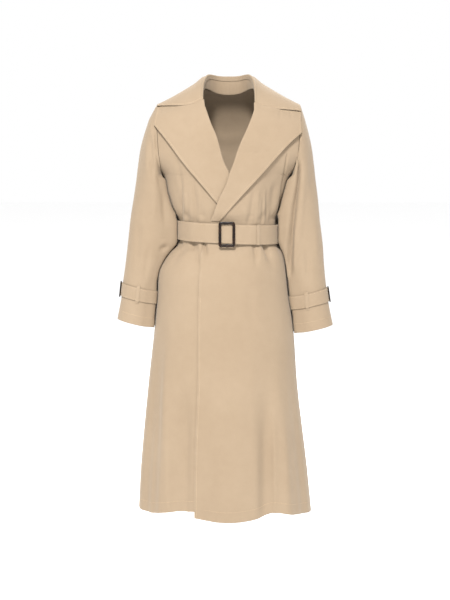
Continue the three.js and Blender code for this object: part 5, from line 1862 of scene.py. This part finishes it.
@dataclass
class Belt:
    """Belt drawn round the waist, its tail through the buckle and under the keeper."""

    room: Workroom
    panels: Panels
    width: float = 51.0
    wall: float = 2.0
    lift: float = 3.0
    tilt: float = -0.045
    columns: int = 240
    rows: int = 15
    tail_start: float = -7.0
    tail_end: float = 96.0
    tail_gap: float = 2.4
    tail_rest: float = 0.4
    tail_lying: float = 22.0
    tail_rise: float = 8.0
    seam: float = 0.3
    foot_turn: float = -60.0
    foot_blend: float = 25.0
    keeper_turn: float = 33.0
    keeper_width: float = 9.0
    keeper_wall: float = 1.2
    keeper_soft: float = 1.6
    keeper_above: float = 1.3
    keeper_room: float = 3.4
    keeper_sink: float = 0.7
    slack: float = 0.2
    ripple: float = 0.22
    tail_ripple: float = 0.6
    buckle_gap: float = 0.5
    bar_into: float = 1.0
    bar_softness: float = 4.0
    stitch_inset: float = 3.5
    buckle_x: float = -1.2
    buckle_z: float = -383.0
    frame: BuckleFrame = BuckleFrame(43.7, 66.5, 7.4, 7.0, 4.2)
    bar_stand: float = 5.4
    bar_width: float = 5.0
    bar_thick: float = 1.6

    def point(self, turn: Array, across: Array, lift: Array) -> Array:
        """Find points of the belt.

        Args:
            turn: Turns round the waist.
            across: From the lower edge (-0.5) to the upper one (0.5).
            lift: How far they stand off the body.

        Returns:
            Points in millimetres.
        """
        trunk = self.room.trunk
        turn, across, lift = np.broadcast_arrays(
            np.asarray(turn, float), np.asarray(across, float), np.asarray(lift, float)
        )
        station = np.full(turn.shape, trunk.belt_z - trunk.chest_z)
        waist = trunk.point(turn, station)
        facing = trunk.facing(turn, station)
        facing[..., 2] = 0.0
        round_ = np.where(turn > 180.0, turn - 360.0, turn)
        foot = smooth((round_ - self.foot_turn) / self.foot_blend)
        stand = self.panels.overlap_lift(np.maximum(round_, -self.panels.overlap_full), station) * foot
        found = waist + unit(facing) * (lift + stand)[..., None]
        found[..., 2] = trunk.belt_z + self.tilt * waist[..., 0] + across * self.width
        return found

    def _ripple(self, turn: Array, across: Array) -> Array:
        """Slight waviness of a tightened belt."""
        wave = np.sin(np.radians(turn * 7.0 + 40.0)) + 0.6 * np.sin(np.radians(turn * 13.0) + across * 3.0)
        return self.ripple * wave * (0.4 + 2.4 * across**2)

    def build(self) -> None:
        """Build, sew and dress the belt with its tail, keeper and buckle."""
        across = np.linspace(0.5, -0.5, self.rows)[:, None]
        turn = np.arange(self.columns)[None] * 360.0 / self.columns
        outer = self.lift + self.wall
        points = self.point(turn, across, outer + self._ripple(turn, across) - self.slack)
        centre = np.array([0.0, 0.0, self.room.trunk.belt_z])
        band = Cloth(points, self.wall - 2.0 * self.slack, points - centre, around=True)
        lines = [band.inset(edge, self.stitch_inset) for edge in (Edge.TOP, Edge.BOTTOM)]
        tail_turn = np.linspace(self.tail_start, self.tail_end, 110)[None]
        rise = smooth((self.tail_lying - tail_turn) / (self.tail_lying - self.tail_rise))
        lift = outer + mix(self.seam, self.tail_gap, rise) + self.tail_rest + self.wall
        points = self.point(tail_turn, across, lift + self._ripple(tail_turn, across) * self.tail_ripple)
        tail = Cloth(points, self.wall - 2.0 * self.slack, points - centre)
        tail_lines = [tail.inset(edge, self.stitch_inset) for edge in (Edge.TOP, Edge.BOTTOM, Edge.END)]
        sewn = self.room.needle.sew("stitching_belt", lines)
        sewn_tail = self.room.needle.sew("stitching_belt_tail", tail_lines)
        band_piece = band.build("coat_belt", self.room.cloth)
        tail_piece = tail.build("coat_belt_tail", self.room.cloth)
        on = ("coat_front_left", "coat_front_right", "coat_back")
        Sheet(("belt",), (0.79, 0.051), Held.STRETCHED, on).declare(band_piece)
        Sheet(("belt_tail",), (0.24, 0.051), Held.LAID, ("coat_belt",)).declare(tail_piece)
        self._keeper()
        self._buckle()

    def _keeper(self) -> None:
        """Build the narrow keeper round belt and tail."""
        soft = self.keeper_soft
        tall, deep = self.width / 2.0 + self.keeper_above, self.wall * 2.0 + self.keeper_room
        seat = self.point(self.keeper_turn, 0.0, self.lift - self.keeper_sink)
        ahead, behind = (self.point(self.keeper_turn + turn, 0.0, 0.0) for turn in (1.0, -1.0))
        run = unit(ahead - behind)
        out = np.array([run[1], -run[0], 0.0])
        path = []
        for sx, sz, start in ((1, 1, 0.0), (0, 1, 90.0), (0, -1, 180.0), (1, -1, 270.0)):
            middle = np.array([sx * deep + (soft if sx == 0 else -soft), sz * (tall - soft)])
            for turn in np.radians(np.linspace(start, start + 90.0, 5)):
                path.append(middle + soft * np.array([math.cos(turn), math.sin(turn)]))
            if sx == 1 and sz == -1 or sx == 0 and sz == 1:
                following = np.array([middle[0] - soft if sx == 0 else middle[0] + soft, 0.0])
                for z in np.linspace(-tall + soft, tall - soft, 12)[1:-1] * (1 if sx == 1 else -1):
                    path.append(np.array([following[0], z]))
        path = np.array(path)
        seam = run * np.linspace(-0.5, 0.5, 5)[:, None] * self.keeper_width
        up = np.array([0.0, 0.0, 1.0])
        points = seat + path[None, :, :1] * out + path[None, :, 1:] * up + seam[:, None]
        middle = seat + out * deep / 2.0
        cloth = Cloth(points, self.keeper_wall, points - middle, around=True)
        piece = cloth.build("coat_belt_keeper", self.room.cloth)
        on = ("coat_belt", "coat_belt_tail")
        Sheet(("belt_keeper",), (0.12, 0.01), Held.STRETCHED, on, 0.0011).declare(piece)

    def _buckle(self) -> None:
        """Build the belt buckle with the bar behind the tail."""
        seat = self.point(0.0, 0.0, self.lift + self.wall + self.buckle_gap)
        seat = np.array([self.buckle_x, seat[1], self.buckle_z])
        x, z, out = np.array([1.0, 0, 0]), np.array([0, 0, 1.0]), np.array([0, -1.0, 0])
        front = self.frame.build("buckle_front", self.room.resin, seat + out * self.bar_stand, x, z, out)
        parts = [front]
        half, edge = (self.frame.height - self.frame.rim) / 2.0, self.bar_width / 2.0
        for low, high, near, far in (
            (-half, half, 0.0, self.bar_thick),
            (half - edge, half + edge, 0.0, self.bar_stand + self.bar_into),
            (-half - edge, -half + edge, 0.0, self.bar_stand + self.bar_into),
        ):
            parts.append(self._block(seat, low, high, near, far))
        bpy.ops.object.select_all(action="DESELECT")
        for part in parts:
            part.select_set(True)
        bpy.context.view_layer.objects.active = front
        bpy.ops.object.join()
        front.name = "coat_belt_buckle"
        finish_buckle(front, "belt_buckle")

    def _block(self, seat: Array, low: float, high: float, near: float, far: float) -> bpy.types.Object:
        """Build one softened block of the bar.

        Args:
            seat: Middle of the frame's seat on the belt.
            low: Its lower end.
            high: Its upper end.
            near: Its back, towards the belt.
            far: Its face.

        Returns:
            The object.
        """
        turns = np.linspace(0.0, 2.0 * math.pi, 20, endpoint=False)
        bow = 2.0 / self.bar_softness
        u = self.bar_width / 2.0 * np.sign(np.cos(turns)) * np.abs(np.cos(turns)) ** bow
        v = (far - near) / 2.0 * np.sign(np.sin(turns)) * np.abs(np.sin(turns)) ** bow
        middle = (near + far) / 2.0
        levels, sizes = [low, low, low + 0.6, high - 0.6, high, high], [0.02, 0.9, 1.0, 1.0, 0.9, 0.02]
        rings = []
        for level, size in zip(levels, sizes):
            ring = np.stack([u * size, -(middle + v * size), np.full(len(u), level)], -1)
            rings.append(seat + ring)
        points = np.array(rings)
        index = np.arange(points.shape[0] * points.shape[1]).reshape(points.shape[:2])
        wrapped = np.concatenate([index, index[:, :1]], axis=1)
        faces = np.stack([wrapped[:-1, :-1], wrapped[:-1, 1:], wrapped[1:, 1:], wrapped[1:, :-1]], -1)
        faces = faces.reshape(-1, 4).tolist() + [index[0][::-1].tolist(), index[-1].tolist()]
        mesh = bpy.data.meshes.new("bar_block")
        mesh.from_pydata((points.reshape(-1, 3) * MM).tolist(), [], faces)
        mesh.polygons.foreach_set("use_smooth", np.ones(len(mesh.polygons), bool))
        mesh.materials.append(self.room.resin)
        block = bpy.data.objects.new("bar_block", mesh)
        bpy.context.scene.collection.objects.link(block)
        return block


@dataclass(frozen=True)
class Studio:
    """Pale floor, soft light and the camera of the photograph's view."""

    floor_z: float = -1.46
    floor_half: float = 30.0
    camera_place: tuple[float, float, float] = (-0.006, -4.0, -0.150)
    camera_target: tuple[float, float, float] = (-0.006, 0.0, -0.567)
    lens: float = 89.37
    sensor: float = 36.0
    world: float = 1.0
    # Each light: name, place, size, power in watts
    lights: tuple[tuple[str, tuple[float, float, float], float, float], ...] = (
        ("key", (-0.9, -5.9, 5.0), 1.3, 1230.0),
        ("fill", (2.6, -4.4, 0.4), 2.4, 15.0),
        ("rim", (0.4, 3.4, 2.6), 2.6, 220.0),
    )

    def build(self) -> None:
        """Build the stage."""
        half = self.floor_half / MM
        corners = np.array([[-half, -half], [half, -half], [half, half], [-half, half]])
        corners = np.concatenate([corners, np.full((4, 1), self.floor_z / MM)], axis=1)
        floor = new_piece("studio_floor", corners, np.array([[0, 1, 2, 3]]), PlainFinish().build())
        scene = bpy.context.scene
        world = bpy.data.worlds.new("studio_world")
        world.use_nodes = True
        ground = world.node_tree.nodes["Background"]
        ground.inputs["Color"].default_value = (1.0, 1.0, 1.0, 1.0)
        ground.inputs["Strength"].default_value = self.world
        scene.world = world
        scene.view_settings.view_transform = "Standard"
        for name, place, size, power in self.lights:
            lamp = bpy.data.lights.new(name, "AREA")
            lamp.size, lamp.energy = size, power
            holder = bpy.data.objects.new(name, lamp)
            holder.location = place
            aim = Vector(self.camera_target) - holder.location
            holder.rotation_euler = aim.to_track_quat("-Z", "Y").to_euler()
            scene.collection.objects.link(holder)
        lens = bpy.data.cameras.new("photo_camera")
        lens.lens, lens.sensor_fit, lens.sensor_height = self.lens, "VERTICAL", self.sensor
        camera = bpy.data.objects.new("photo_camera", lens)
        camera.location = self.camera_place
        aim = Vector(self.camera_target) - camera.location
        camera.rotation_euler = aim.to_track_quat("-Z", "Y").to_euler()
        scene.collection.objects.link(camera)
        scene.camera = camera


def main() -> None:
    """Build the coat piece by piece, then its studio."""
    logging.basicConfig(level=logging.INFO, format="%(name)s: %(message)s")
    room = Workroom(
        Trunk(), GabardineFinish().build(), ResinFinish().build(), Stitcher(ThreadFinish().build())
    )
    panels = Panels(room)
    collar = Collar(room)
    panels.build()
    collar.build()
    Lapels(room, panels, collar).build()
    Sleeves(room).build()
    Belt(room, panels).build()
    Studio().build()


if __name__ == "__main__":
    main()
